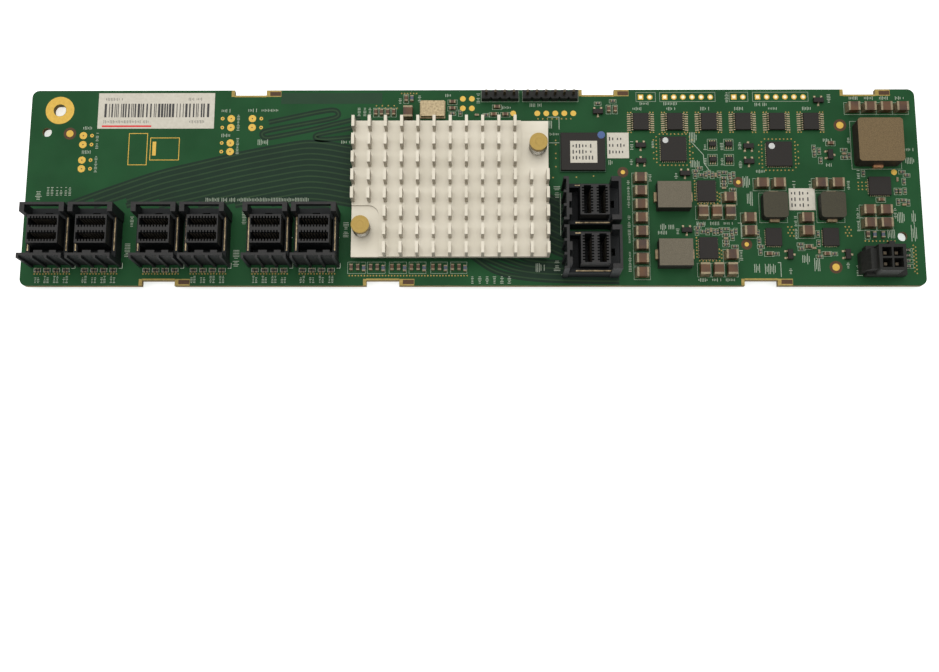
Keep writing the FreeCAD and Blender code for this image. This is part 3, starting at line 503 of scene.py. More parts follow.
def strip(name, routes, width, high, look, underside=False, curved=True, closed=False):
    # flat lines printed or etched on one face of the board: a path swept with a low section
    clearSelection()
    bpy.ops.curve.primitive_nurbs_path_add()
    section = bpy.context.object
    half, rim = width / 2, min(width / 4, 0.05)
    outline(section, [[(-half, -sunk), (half, -sunk), (half - rim, high), (rim - half, high)]], False, True)
    bpy.ops.curve.primitive_nurbs_path_add()
    path = bpy.context.object
    hand = -1 if underside else 1
    outline(path, [[(x, hand * y) for x, y in route] for route in routes], curved, closed)
    path.data.bevel_mode = "OBJECT"
    path.data.bevel_object = section
    path.data.use_fill_caps = True
    hold(path)
    bpy.ops.object.convert(target="MESH")
    bpy.ops.object.shade_flat()
    piece = bpy.context.object
    drop(section)
    choose(piece, everywhere)
    faceOut()
    piece.data.transform(seat((0, 0), underside))
    return named(piece, name, look)


def outline(curve, routes, curved, closed):
    curve.data.splines.clear()
    curve.data.dimensions = "2D"
    curve.data.resolution_u = 5
    for route in routes:
        line = curve.data.splines.new("NURBS" if curved else "POLY")
        line.points.add(len(route) - 1)
        for point, (x, y) in zip(line.points, route):
            point.co = (x * mm, y * mm, 0, 1)
        line.use_cyclic_u = closed
        line.order_u = 3
        line.use_endpoint_u = not closed


# twin-slot receptacle: the moulding with its edges eased and a contact cavity at each way of both slots
receptacle = {
    "count": 8, "ways": 9, "pitch": 0.8, "cavityWidth": 0.42, "cavityReach": 0.55, "cavityFall": 3.2,
    "slotInner": 1.0, "slotOuter": 2.9, "blockTop": 9.6, "edge": 0.07, "overlap": 0.1,
}


def middleOf(node):
    low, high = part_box(node)
    return [(a + b) / 2 / mm for a, b in zip(low.xy, high.xy)]


def mergeCorners():
    bpy.ops.mesh.remove_doubles(threshold=touching * mm)


def receptacleMaster():
    piece = bpy.data.objects.new("receptacle_master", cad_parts["receptacle_1_housing"].data.copy())
    bpy.context.collection.objects.link(piece)
    choose(piece, everywhere)
    mergeCorners()
    leave()
    soften(piece, receptacle["edge"], 1, 50)
    middleX, middleY = middleOf("receptacle_1_contacts")
    reach, lap, fall = receptacle["cavityReach"], receptacle["overlap"], receptacle["cavityFall"]
    firstX = middleX - (receptacle["ways"] - 1) / 2 * receptacle["pitch"]
    middleZ = boardTop / mm + receptacle["blockTop"] + lap - fall / 2
    rows = []
    for hand in hands:
        for edge, away in ((receptacle["slotInner"], -1), (receptacle["slotOuter"], 1)):
            rowY = middleY + hand * (edge + away * (reach - lap) / 2)
            row = block((receptacle["cavityWidth"], reach + lap, fall), (firstX, rowY, middleZ))
            modify(row, "ARRAY", count=receptacle["ways"], use_relative_offset=False,
                   use_constant_offset=True, constant_offset_displace=(receptacle["pitch"] * mm, 0, 0))
            rows.append(row)
    cutter = joinUp("cavity_cutter", rows)
    modify(piece, "BOOLEAN", operation="DIFFERENCE", solver="EXACT", object=cutter)
    drop(cutter)
    return piece


def corner(piece):
    spots = [vertex.co for vertex in piece.data.vertices]
    return Vector([min(spot[axis] for spot in spots) for axis in range(3)])


master = receptacleMaster()
firstLow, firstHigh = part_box("receptacle_1_housing")
for number in range(1, receptacle["count"] + 1):
    low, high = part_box("receptacle_%d_housing" % number)
    turned = abs((high - low).x - (firstHigh - firstLow).x) > mm
    moulding = copyTo(master, about(-90 if turned else 0))
    moulding.data.transform(Matrix.Translation(low - corner(moulding)))
    named(moulding, "receptacle_%d_moulding" % number, "receptacle_black")
    carry(moulding, "black_moulding", "receptacle_%d_housing" % number)
drop(master)
print("receptacles cut:", receptacle["count"])

# push pins: a round wire wound between the pocket floor and the head, and rings turned on the head
spring = {"turns": 4, "wire": 0.5, "sides": 8, "steps": 20}
pinHead = {"rim": 0.25, "ring": 0.55, "fall": 0.05, "rings": (-1, 1, -2), "sides": 40, "deep": 0.1,
           "proud": 0.02}
pins = ("front", "rear")
for place in pins:
    low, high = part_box("push_pin_spring_" + place)
    outer, wire = (high.x - low.x) / 2, spring["wire"] * mm
    clearSelection()
    bpy.ops.mesh.primitive_circle_add(vertices=spring["sides"], radius=wire / 2,
                                      rotation=(math.pi / 2, 0, 0), location=(outer - wire / 2, 0, wire / 2))
    coil = settled()
    modify(coil, "SCREW", screw_offset=(high.z - low.z - wire) / spring["turns"],
           iterations=spring["turns"], steps=spring["steps"], render_steps=spring["steps"])
    choose(coil, everywhere)
    mergeCorners()
    bpy.ops.mesh.select_all(action="DESELECT")
    bpy.ops.mesh.select_mode(type="EDGE")
    bpy.ops.mesh.select_non_manifold(use_wire=False, use_multi_face=False, use_non_contiguous=False,
                                     use_verts=False)
    bpy.ops.mesh.edge_face_add()
    faceOut()
    x, y = middleOf("push_pin_spring_" + place)
    coil.data.transform(Matrix.Translation((x * mm, y * mm, low.z)))
    hold(coil)
    bpy.ops.object.shade_smooth()
    carry(named(coil, "round_spring_" + place, "spring_wire"), "spring_metal", "push_pin_spring_" + place)
for place in pins:
    low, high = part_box("push_pin_spring_" + place)
    outer, pinTop = (high.x - low.x) / 2 / mm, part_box("push_pin_" + place)[1].z / mm
    head = drum(pinHead["sides"], outer, pinTop - pinHead["deep"], pinTop + pinHead["proud"],
                *middleOf("push_pin_spring_" + place))
    choose(head, upward)
    terrace(pinHead["rim"], pinHead["fall"])
    for rise in pinHead["rings"]:
        terrace(pinHead["ring"], rise * pinHead["fall"])
    leave()
    carry(named(head, "turned_head_" + place, "turned_brass"), "pin_metal")
print("push pins wound and turned")

# chip parts: length, width, height, plated ends, solder fillet, eased edge
chipForms = {"bulk": (4.5, 3.2, 2.4, 0.6, 0.35, 0.12), "large": (3.2, 2.5, 2.4, 0.55, 0.35, 0.12),
             "0603": (1.6, 0.85, 0.8, 0.32, 0.18, 0), "0402": (1.05, 0.55, 0.42, 0.24, 0.14, 0)}
plating = 0.03
solder = {"wide": 1.08, "tall": 0.5, "lean": (0.15, 0.86, 1)}


def chipPart(form, body, metal):
    length, width, height, ends, fillet, edge = chipForms[form]
    part = named(block((length, width, height), (0, 0, height / 2)), "chip_part", body, metal)
    for hand in hands:
        sliceAt(part, (hand * (length / 2 - ends), 0, 0), (1, 0, 0))
    choose(part, lambda spot, facing: abs(spot.x) > length / 2 - ends + touching)
    paintChosen(part, 1)
    bpy.ops.mesh.extrude_region_shrink_fatten(TRANSFORM_OT_shrink_fatten={"value": plating * mm})
    leave()
    if edge:
        soften(part, edge)
    things = [part]
    for hand in hands:
        foot = block((fillet, width * solder["wide"], height * solder["tall"]),
                     (hand * (length / 2 + fillet / 2), 0, height * solder["tall"] / 2))
        taper(foot, upward, solder["lean"], (hand * length / 2, 0, 0))
        things.append(named(foot, "solder", metal))
    return joinUp("chip_part", things)


def looseBodies(name):
    # centre and size of each separate solid of a node, by its shared corners
    mesh = bmesh.new()
    mesh.from_mesh(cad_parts[name].data)
    bmesh.ops.remove_doubles(mesh, verts=mesh.verts, dist=touching * mm)
    waiting = set(mesh.verts)
    bodies = []
    while waiting:
        edge = [waiting.pop()]
        found = []
        while edge:
            vertex = edge.pop()
            found.append(vertex.co.copy())
            near = [link.other_vert(vertex) for link in vertex.link_edges]
            edge.extend(v for v in near if v in waiting)
            waiting.difference_update(near)
        low, high = [Vector([end(c[a] for c in found) for a in range(3)]) / mm for end in (min, max)]
        bodies.append(((low + high) / 2, high - low))
    mesh.free()
    return sorted(bodies, key=lambda body: [round(c, 3) for c in body[0]])


# large ceramic capacitors, on the places that the carried-over nodes give
bulkFrom = 4  # the length from which a capacitor is a bulk one
for side, underside, finish in (("top", False, ("capacitor_ceramic", "dull_terminal")),
                                ("bottom", True, ("amber_ceramic", "bright_terminal"))):
    plainCap, bulkCap = [chipPart(form, *finish) for form in ("large", "bulk")]
    copies = []
    for spot, size in looseBodies(side + "_capacitors"):
        chosen = bulkCap if max(size.xy) > bulkFrom else plainCap
        copies += lay(chosen, [(spot.x, spot.y, 0 if size.x > size.y else 90)], underside)
    carry(joinUp(side + "_ceramic_capacitors", copies), "capacitor_ceramic", side + "_capacitors")
    drop(plainCap, bulkCap)
print("ceramic capacitors laid")

# the first-pin mark of a package: its place from the corner and its form
mark = {"margin": 0.3, "inward": 0.9, "sides": 16, "deep": 0.02, "proud": 0.004, "rim": 0.25, "fall": 0.015}


# moulded package: drafted body parted at mid height, with a dimple at its first pin
def package(length, width, height, lift=0.0, draft=0.0, edge=0.06, dimple=0.0):
    body = named(block((length, width, height), (0, 0, lift + height / 2)), "package", "chip_epoxy")
    if draft:
        sliceAt(body, (0, 0, lift + height / 2), (0, 0, 1))
        for end in (0, height):
            taper(body, lambda spot, facing: abs(spot.z - lift - end) < touching,
                  (1 - 2 * draft / length, 1 - 2 * draft / width, 1), (0, 0, lift + end))
    soften(body, edge)
    if not dimple:
        return body
    top, inset = lift + height, mark["inward"] * dimple + draft + mark["margin"]
    spot = drum(mark["sides"], dimple, top - mark["deep"], top + mark["proud"], inset - length / 2,
                width / 2 - inset)
    dish(spot, dimple * mark["rim"], -mark["fall"])
    return joinUp("package", [body, named(spot, "dimple", "chip_epoxy")])


# gull-wing lead drawn out of the package's side: out, down to the pad, and along it
gull = {"thick": 0.16, "out": 0.28, "down": 0.2, "along": 0.52, "lands": 0.6, "settles": 0.1, "tuck": 0.1,
        "footLong": 0.75, "footWide": 1.5, "footHigh": 0.05, "footX": 0.78, "footZ": 0.02,
        "footLean": (0.9, 0.8, 1)}


def gullLead(start, reach, rise, width):
    thick, footX = gull["thick"], start + reach * gull["footX"]
    clearSelection()
    bpy.ops.mesh.primitive_plane_add(size=1, rotation=(0, math.pi / 2, 0),
                                     location=(start * mm, 0, rise * mm))
    bpy.context.object.scale = (thick * mm, width * mm, 1)
    lead = settled()
    choose(lead, everywhere)
    drawOut(reach * gull["out"], 0)
    drawOut(reach * gull["down"], thick * gull["lands"] - rise)
    drawOut(reach * gull["along"], -thick * gull["settles"])
    faceOut()
    foot = block((reach * gull["footLong"], width * gull["footWide"], gull["footHigh"]),
                 (footX, 0, gull["footZ"]))
    taper(foot, upward, gull["footLean"], (footX, 0, 0))
    return joinUp("lead", [named(lead, "lead", "dull_lead"), named(foot, "foot", "dull_lead")])


def leaded(form, places):
    # places: along the side in millimetres, and which side
    lead = gullLead(form["body"]["length"] / 2 - gull["tuck"], **form["lead"])
    copies = [package(**form["body"])]
    for along, turn in places:
        copies.append(copyTo(lead, about(turn) @ Matrix.Translation((0, along * mm, 0))))
    drop(lead)
    return joinUp("leaded_package", copies)


# flat leadless chip with its row of plated lands showing at the foot of each side
flatChips = {
    "stagePitch": 0.5, "monitorPitch": 0.55, "height": 0.9, "lift": 0.02, "edge": 0.05, "dimple": 0.3,
    "margin": 0.8, "landLong": 0.36, "landHigh": 0.12, "landAt": 0.05, "landLean": (1, 0.8, 0.5),
}


def leadless(length, width, pitch):
    lift = flatChips["lift"]
    things = [package(length, width, flatChips["height"] - lift, lift, 0, flatChips["edge"],
                      flatChips["dimple"])]
    for turn in (0, 90, 180, 270):
        span, other = (length, width) if turn in (90, 270) else (width, length)
        count = int((span - flatChips["margin"]) / pitch) + 1
        land = block((flatChips["landLong"], pitch / 2, flatChips["landHigh"]),
                     (other / 2 + lift, 0, flatChips["landAt"]))
        taper(land, lambda spot, facing: facing.x > squareOn, flatChips["landLean"], (0, 0, 0))
        named(land, "land", "dull_lead")
        for index in range(count):
            along = (index - (count - 1) / 2) * pitch * mm
            things.append(copyTo(land, about(turn) @ Matrix.Translation((0, along, 0))))
        drop(land)
    return joinUp("leadless_chip", things)


driver = {"body": {"length": 4.4, "width": 5.0, "height": 0.95, "lift": 0.08, "draft": 0.12, "edge": 0.05,
                   "dimple": 0.3},
          "lead": {"reach": 1.45, "rise": 0.5, "width": 0.26}, "leads": 8, "pitch": 0.65}
rows = [((index - (driver["leads"] - 1) / 2) * driver["pitch"], turn)
        for index in range(driver["leads"]) for turn in (0, 180)]
driverMaster = leaded(driver, rows)
drivers = lay(driverMaster, [spot.xy for spot, size in looseBodies("driver_chips")])
carry(joinUp("leaded_driver_chips", drivers), "chip_moulding", "driver_chips", "driver_chip_leads")

transistor = {"body": {"length": 1.5, "width": 2.9, "height": 0.95, "lift": 0.05, "draft": 0.1},
              "lead": {"reach": 0.75, "rise": 0.45, "width": 0.42}, "spread": 0.95}
twin = {"body": {"length": 1.4, "width": 2.0, "height": 0.95, "lift": 0.05, "draft": 0.08},
        "lead": {"reach": 0.6, "rise": 0.45, "width": 0.25}, "pitch": 0.65, "under": 1.45}
single = leaded(transistor, [(-transistor["spread"], 0), (transistor["spread"], 0), (0, 180)])
dual = leaded(twin, [(along * twin["pitch"], turn) for along in (-1, 0, 1) for turn in (0, 180)])
singleLeadUp = {(46.6, 11.6), (58.6, 3.5), (58.6, -12.6), (76.3, 6.9), (96.2, 24.6), (35.0, 21.4)}
smallBodies = []
for spot, size in looseBodies("small_transistors"):
    turn = 0 if size.y > size.x else 90
    if (round(spot.x, 1), round(spot.y, 1)) not in singleLeadUp:
        turn += 180
    form = dual if min(size.xy) < twin["under"] else single
    smallBodies += lay(form, [(spot.x, spot.y, turn)], spot.z < boardTop / mm)
carry(joinUp("leaded_transistors", smallBodies), "chip_moulding", "small_transistors")
drop(driverMaster, single, dual)

for kind, node in (("stage", "power_stage_chips"), ("monitor", "monitor_chips")):
    chips = []
    for spot, size in looseBodies(node):
        chip = leadless(size.x, size.y, flatChips[kind + "Pitch"])
        chips += lay(chip, [spot.xy])
        drop(chip)
    carry(joinUp("leadless_" + kind + "_chips", chips), "chip_moulding", node)

# controller: a ball-grid chip, its moulded cap stepped in from a thin green carrier
controller = {"carrierHigh": 0.4, "carrierAt": 0.32, "carrierEdge": 0.05, "margin": 0.3, "capFrom": 0.5,
              "draft": 0.12, "edge": 0.08, "dimple": 0.45}
low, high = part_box("controller_chip")
wide, deep, tall = (high - low) / mm
carrier = block((wide, deep, controller["carrierHigh"]), (0, 0, controller["carrierAt"]))
soften(named(carrier, "carrier", "chip_substrate"), controller["carrierEdge"])
cap = package(wide - controller["margin"], deep - controller["margin"], tall - controller["capFrom"],
              controller["capFrom"], controller["draft"], controller["edge"], controller["dimple"])
chip = joinUp("controller_master", [cap, carrier])
carry(joinUp("ball_grid_controller", lay(chip, [middleOf("controller_chip")])), "chip_moulding",
      "controller_chip")
drop(chip)
print("chips laid")


# etched lines under the mask: dark lanes where the copper is cleared, with the pair's line between them
lanes = {"topBed": 1.75, "topPitch": 1.62, "count": 12, "underBed": 2.1, "underPitch": 1.85, "ribbon": 1.6,
         "line": 0.5, "heights": (0.006, 0.012), "lineHigh": 0.018, "nearLimit": -6.5}


def parallel(route, gap):
    # the same route moved sideways by the gap
    moved = []
    for index, (x, y) in enumerate(route):
        x0, y0 = route[max(index - 1, 0)]
        x1, y1 = route[min(index + 1, len(route) - 1)]
        length = math.hypot(x1 - x0, y1 - y0)
        moved.append((x - gap * (y1 - y0) / length, y + gap * (x1 - x0) / length))
    return moved


def etch(face, routes, loops):
    # beds at two heights in turn, so that neighbours may lap, and the line along each
    underside, bed, line = face == "under", "lane_bed_" + face, "lane_line_" + face
    things = [strip("lane_bed", routes[turn::2], lanes[face + "Bed"], high, bed, underside)
              for turn, high in enumerate(lanes["heights"])]
    things.append(strip("lane_loops", loops, lanes["ribbon"], lanes["heights"][0], bed, underside))
    things.append(strip("lane_line", routes + loops, lanes["line"], lanes["lineHigh"], line, underside))
    carry(joinUp("etched_lanes_" + face, things), "laminate")


farEdge = [
    (-113, -5.8), (-104, -2.3), (-95, 1), (-86, 4.1), (-75, 6.7), (-65, 9.2), (-55, 11.2), (-48, 12.5),
    (-44, 12.8), (-39, 12.2), (-34, 11.2), (-30, 10.6),
]
topRoutes = []
for lane in range(lanes["count"]):
    route = [(x, y - lane * lanes["topPitch"]) for x, y in farEdge]
    topRoutes.append([spot for spot in route if spot[1] > lanes["nearLimit"]])
for rise in [lane * lanes["topPitch"] for lane in range(4)]:
    topRoutes.append([(rise, -19.6), (4 + rise, -22.9 + rise), (9 + rise, -25 + rise), (16, -26 + rise),
                      (24, -26.6 + rise), (40, -26.8 + rise)])
for fall in [lane * lanes["underPitch"] for lane in range(9)]:
    topRoutes.append([(20.3, -2.4 - fall), (23, -4 - fall), (25.5, -4.8 - fall)])
topLoops = [
    [(-56.5, 18.6), (-48, 20.5), (-41, 22), (-37.6, 22.3), (-36.8, 20.3), (-40, 19.4), (-48, 17.9),
     (-56, 16.4), (-58.6, 15.6), (-57.8, 13.9), (-55, 14.3), (-49, 15.5), (-43, 16.8), (-37, 18.4),
     (-31, 19.8)],
    [(-31, 17.4), (-37, 16.2), (-41, 15.4), (-43.6, 14.8), (-43.2, 13.6), (-40, 13.6), (-36, 14),
     (-31, 14.4)]]
etch("top", topRoutes, topLoops)

# below: a wave to the near row, each lane keeping so many of its points before its own tail
wave = [
    (-14, 6.5), (-20, 6.4), (-27, 5.4), (-35, 6.9), (-42, 6.1), (-50, 4.9), (-56, 6.3), (-64, 5),
    (-75, 2.6), (-85, 0.6),
]
tails = [
    (10, [(-95, -1.2), (-105, -3), (-113, -6), (-117, -8.5), (-115.6, -12), (-114.7, -16),
          (-114.7, -25.4)]),
    (10, [(-95, -3), (-104, -5), (-109, -9), (-112, -13), (-112.6, -25.4)]),
    (10, [(-93, -4.3), (-100, -6.3), (-104, -9), (-102.8, -12.5), (-102, -17), (-102.2, -25.4)]),
    (10, [(-92, -6.2), (-96, -8.5), (-99.6, -12), (-99.5, -25.4)]),
    (9, [(-84, -6.5), (-87.5, -8.5), (-86.2, -12), (-86, -25.4)]),
    (8, [(-75, -6.2), (-80, -7.4), (-82.7, -10), (-83.6, -14), (-83.5, -25.4)]),
    (7, [(-65, -6.5), (-72, -8), (-74, -10.5), (-72.5, -13), (-73, -25.4)]),
    (6, [(-56, -7.2), (-61, -8.4), (-62.6, -12), (-62.5, -18), (-65, -22), (-71, -23.5)]),
    (5, [(-46, -10.5), (-52, -14), (-56, -20), (-57, -25.4)]),
]
underRoutes = [[(x, y - lane * lanes["underPitch"]) for x, y in wave[:kept]] + tail
               for lane, (kept, tail) in enumerate(tails)]
chipToPair = [
    (25.7, -2), (21.9, -4.9), (20.4, -9.8), (19.4, -16.1), (15.6, -19.5), (10.9, -20), (4.7, -17),
    (-1.5, -14.6), (-7.2, -12.1),
]
chipToRow = [(-9.6, -14.6), (-11, -17.5), (-16.7, -18), (-23.8, -16.9), (-31, -17), (-36.2, -15.5)]
underRoutes += [parallel(chipToPair, lanes["underBed"] * lane) for lane in range(4)]
underRoutes += [parallel(chipToRow, lanes["underBed"] * lane) for lane in range(2)]
turns = [math.radians(100 - 20 * step) for step in range(11)]
for reachX, reachY in ((13, 6.8), (11.1, 5), (9.2, 3.2)):
    underRoutes.append([(20 + reachX * math.cos(turn), 8.3 + reachY * math.sin(turn)) for turn in turns])
underLoop = [
    (-30, 14), (-40, 12.8), (-50, 11), (-58, 9.5), (-62.2, 9.3), (-62.4, 11.4), (-58, 11.9), (-48, 13.7),
    (-36, 15.9), (-30.6, 16.6), (-29.4, 18.6), (-32, 19.3), (-40, 18), (-50, 16), (-60, 13.9),
]
etch("under", underRoutes, [underLoop])
print("etched lanes drawn")


# a flat patch of the board's face, its rim eased
eased = {"rim": 0.04, "crown": 0.004}


def plate(x0, x1, y0, y1, high, look, underside=False):
    patch = block((x1 - x0, y1 - y0, high + sunk), (0, 0, (high - sunk) / 2))
    dish(patch, eased["rim"], eased["crown"])
    named(patch, "patch", look)
    placed = copyTo(patch, seat(((x0 + x1) / 2, (y0 + y1) / 2), underside))
    drop(patch)
    return placed


# bare laminate at the notches: a pale sliver, a field and a strap, and a brown patch in the field, each given
# from and to along the board, from and to inwards from its rim, and by its height
bare = {"half": 4.45, "far": (-61.8, 35.1, 107.7), "near": (-85.1, -24.1, 78.3),
        "fields": [(-5.35, -4.47, 0.05, 1.9, 0.01, "bare_laminate"),
                   (4.47, 8.55, 0.05, 1.9, 0.01, "bare_laminate"),
                   (-4.45, 4.45, 1.53, 2.0, 0.01, "bare_laminate"),
                   (5.45, 8.45, 0.45, 1.65, 0.016, "bare_laminate_brown")]}
darkField, cornerField, fieldHigh = (-53.2, -25, 24, 27.2), (-121.7, -113.9, 1, 12.7), 0.012
bothFaces = (False, True)
halfWidth = boardHigh.y / mm
patches = [plate(*darkField, fieldHigh, "dark_field_top"),
           plate(*darkField, fieldHigh, "lane_bed_under", True),
           plate(*cornerField, fieldHigh, "lane_bed_under", True)]
for hand, places in ((1, bare["far"]), (-1, bare["near"])):
    for start, end, rim, inner, high, look in bare["fields"]:
        y0, y1 = sorted((hand * (halfWidth - rim), hand * (halfWidth - inner)))
        patches += [plate(x + start, x + end, y0, y1, high, look, underside)
                    for x in places for underside in bothFaces]
carry(joinUp("bare_laminate", patches), "laminate")


# plated lands: a low disc, dished where a hole is stopped in its middle, the dish painted dark as painted
# shade in the hole, and raised where solder fills it
def roundLand(radius, hole=0.0, sides=20, look="plated_gold", rise=-0.012):
    middle = "tinned_metal" if rise > 0 else "hole_painted_shade"
    land = named(drum(sides, radius, -sunk, sunk), "land", look, middle)
    if hole:
        dish(land, radius - hole, rise, 1)
    return land


def squareLand(size, hole):
    land = named(block((size, size, 2 * sunk), (0, 0, 0)), "land", "plated_gold", "tinned_metal")
    dish(land, size / 2 - hole, sunk, 1)
    return land


def ringLand(outer, inner, sides=48):
    # a flat washer of plating round a hole through the board
    ring = named(drum(sides, outer, -sunk, sunk), "ring", "plated_gold")
    choose(ring, lambda spot, facing: abs(facing.z) > squareOn)
    bpy.ops.mesh.inset(thickness=(outer - inner) * mm)
    bpy.ops.mesh.bridge_edge_loops()
    leave()
    return ring


# places in a column, in a level row, at equal steps, and in a field of equal steps
def column(x, heights):
    return [(x, y) for y in heights]


def level(y, places):
    return [(x, y) for x in places]


def run(x, y, stepX, stepY, count):
    return [(x + index * stepX, y + index * stepY) for index in range(count)]


def field(x, y, stepX, stepY, columns, rows):
    return [spot for index in range(columns) for spot in run(x + index * stepX, y, 0, stepY, rows)]


leftLands, leftLandsUnder = (14.8, 12.2, 7.7, 5.2), (14.8, 12.2, 7.7, 5.1)
rightLands, loosePair, nearPair = (19.7, 17.1, 12.6, 10.1), (15.2, 12.7), (15.3, 12.8)
big, little, plain = roundLand(1.05, 0.2), roundLand(0.52, 0.22, 12), roundLand(0.8)
lands = lay(big, column(-108, leftLands) + column(-67, rightLands) + column(-61.1, rightLands[:2]))
lands += lay(little, column(-105.6, leftLands) + column(-69.4, rightLands) + column(-58.6, rightLands[:2]))
lands += lay(plain, level(21.1, (11.5, 18.2, 20.7, 23.2, 25.7, 28.2)) + field(-2.5, 25.4, 2.5, -2.8, 2, 2)
             + [(116, 3.9)])
lands += lay(big, column(-108.2, leftLandsUnder) + column(-67.2, rightLands) + column(-64.5, loosePair)
             + column(-25.7, nearPair), True)
lands += lay(little, column(-105.7, leftLandsUnder) + column(-69.7, rightLands) + column(-62, loosePair)
             + column(-28.2, nearPair), True)
spareHoles = {"y": 25.8, "pitch": 2.53, "groups": ((47.0, 2), (53.7, 6), (72.9, 2), (79.5, 6))}
squareHole, roundHole = squareLand(1.5, 0.42), roundLand(0.78, 0.45, 16, rise=sunk)
ring = ringLand(4.0, 1.78)
cornerLand = (-122.8, -117.3, 18.3, 26.1, 0.018)
for underside in bothFaces:
    for first, count in spareHoles["groups"]:
        ways = run(first, spareHoles["y"], spareHoles["pitch"], 0, count)
        lands += lay(squareHole, ways[:1], underside) + lay(roundHole, ways[1:], underside)
    lands += lay(ring, [(-115, 22.2)], underside)
lands.append(plate(*cornerLand, "plated_gold", True))
drop(big, little, plain, squareHole, roundHole, ring)
carry(joinUp("plated_lands", lands), "contact_metal")

# aiming marks for the placing machine: a gold dot in a ring of bare laminate
aims = [{"dot": 1.0, "ring": 1.75, "at": [(-111.8, 15.4), (101.9, 17.5), (98.7, -22.9)], "faces": bothFaces},
        {"dot": 0.6, "ring": 1.5, "at": [(41.6, 4.0), (73.2, 1.1), (74.8, -16.5)], "faces": bothFaces[:1]}]
marks = []
for aim in aims:
    dot = roundLand(aim["dot"], 0, 24)
    halo = named(drum(32, aim["ring"], -sunk, fieldHigh), "halo", "bare_laminate_brown")
    dish(halo, 3 * eased["rim"], eased["crown"])
    for underside in aim["faces"]:
        marks += lay(dot, aim["at"], underside) + lay(halo, aim["at"], underside)
    drop(dot, halo)
carry(joinUp("aiming_marks", marks), "contact_metal")

# stopped vias, as rows, grids and rings; where the groups of parts stand is used again below
nearRow = (-114.2, -101.3, -84.5, -71.6, -54.8, -41.9)
driverRow = [46.8 + 9.4 * index for index in range(6)]
monitors = ((55.6, 10.5), (84.6, 9))
stageRises = (0, -16.1)
viaTop = [spot for x in nearRow for spot in run(x - 4.9, -24.7, 0.8, 0, 13)]
viaUnder = list(viaTop)
for x in nearRow:
    viaUnder += [(x + off, y) for y in (-12.2, -13.1, -16.8, -19.5) for off in (-3.2, -2.4, 0.4, 2.6)]
viaTop += run(-33.2, -25.2, 0.82, 0, 40) + run(-26.6, 23.4, 1.66, 0, 4) + run(-25.8, 22.7, 1.66, 0, 4)
viaTop += run(-19.6, 27, 0.83, 0, 6) + field(106, 1, 1.05, -1, 3, 3) + run(107, -15.6, 1, 0, 9)
viaTop += column(23.2, (13.2, 12, 9.4, 8, 5.6)) + [(22.4, 2.5), (28.8, 2.6), (33.5, 2.9)]
viaTop += run(18.4, 19.5, 1.3, 0, 8) + [(119.9 + (row % 2) * 0.6, -16.8 - row * 0.52) for row in range(16)]
for x, y in monitors:
    for hand in hands:
        viaTop += run(x + hand * 4.6, y - 3.675, 0, 1.05, 8) + run(x - 3.675, y + hand * 4.5, 1.05, 0, 8)
        viaTop += column(x + hand * 5.4, (y - 2.6, y - 0.9, y + 0.9, y + 2.8))
    viaUnder += [(x + (across - 2.5) * 0.85, y + (row - 2.5) * 0.85)
                 for across in range(6) for row in range(6) if row in (0, 5) or across in (0, 5)]
for x in driverRow:
    viaTop += [(x + hand * off, 18.4 + end * 2.9) for hand in hands for off in (2.7, 3.5) for end in hands]
for rise in stageRises:
    viaTop += run(61.2, 1.5 + rise, 0, -0.9, 7) + run(61.9, -5 + rise, 0.9, 0, 7)
    viaTop += [(67.3 + (step % 3) * 0.6, -1.8 + rise - step * 0.35) for step in range(8)]
for x in (86.2, 101.8):
    viaTop += [(x + (row % 2) * 0.5 + across, -11.6 - row * 0.85) for across in range(2) for row in range(4)]
viaUnder += run(121, -17.2, 0, -0.75, 12)
tented = field(-20, 9.5, 1, -1, 6, 25) + field(-13.4, -11.8, 1, -1, 12, 3)
dots = run(8.9, -4.6, 0, -1.3, 10) + run(12.1, -4.6, 0, -1.3, 10) + run(12.6, 13.1, -1.3, 0, 13)
dots += level(17.2, (11.3, 9, 5.8, 2.4, -0.8)) + level(-2.2, (15.2, 18, 20.8, 22.7))
dots += level(4.3, (15.2, 18, 20.8, 22.7)) + [(30, 15), (32.2, 12.9), (34.7, 14.2), (33.4, 12), (22.9, 12)]
dots += [(21, 13.2), (24.7, 13.2), (20.9, 8), (22.2, 9.3), (23, 8), (28.5, 11), (13.6, 3.4), (16.6, 2.1)]
for x in driverRow:
    dots += column(x - 2.6, (19.2, 18)) + column(x - 1.4, (18.6, 17.3)) + [(x - 3.2, 15.1)]
turns = [math.radians(180 + step * 20) for step in range(14)]
for x, y in monitors:
    dots += [(x + 5.2 * math.cos(turn), y + 5 * math.sin(turn)) for turn in turns]
for rise in stageRises:
    dots += [(72 - step * 1.35, 3.5 + rise - (step % 2) * 0.9) for step in range(8)]
    dots += [(x, y + rise) for x, y in ((71.2, 1.6), (61.2, 2.5), (61, -0.8), (61.8, -6.4), (61.6, -9))]
for x in (99, 83.2):
    dots += run(x + 1, -18.4, -1.3, 0, 5) + [(x - 4.2, -20.5), (x + 3.6, -19.5)]
via, dotLand = roundLand(0.2, 0.08, 8, "stopped_via"), roundLand(0.48, 0.16, 12)
stopped = roundLand(0.22, 0, 8, "tented_via")
carry(joinUp("stopped_vias_top", lay(via, viaTop)), "contact_metal")
viaUnders = lay(via, viaUnder, True) + lay(dotLand, dots, True) + lay(stopped, tented, True)
carry(joinUp("stopped_vias_under", viaUnders), "contact_metal")
drop(via, stopped, dotLand)
print("lands and vias plated")

# small chip parts on both faces; a place with a third number is turned by it
up = 90


def stood(places):
    return [(x, y, up) for x, y in places]


def raised(places, rise):
    return [(x, y + rise, *turn) for x, y, *turn in places]


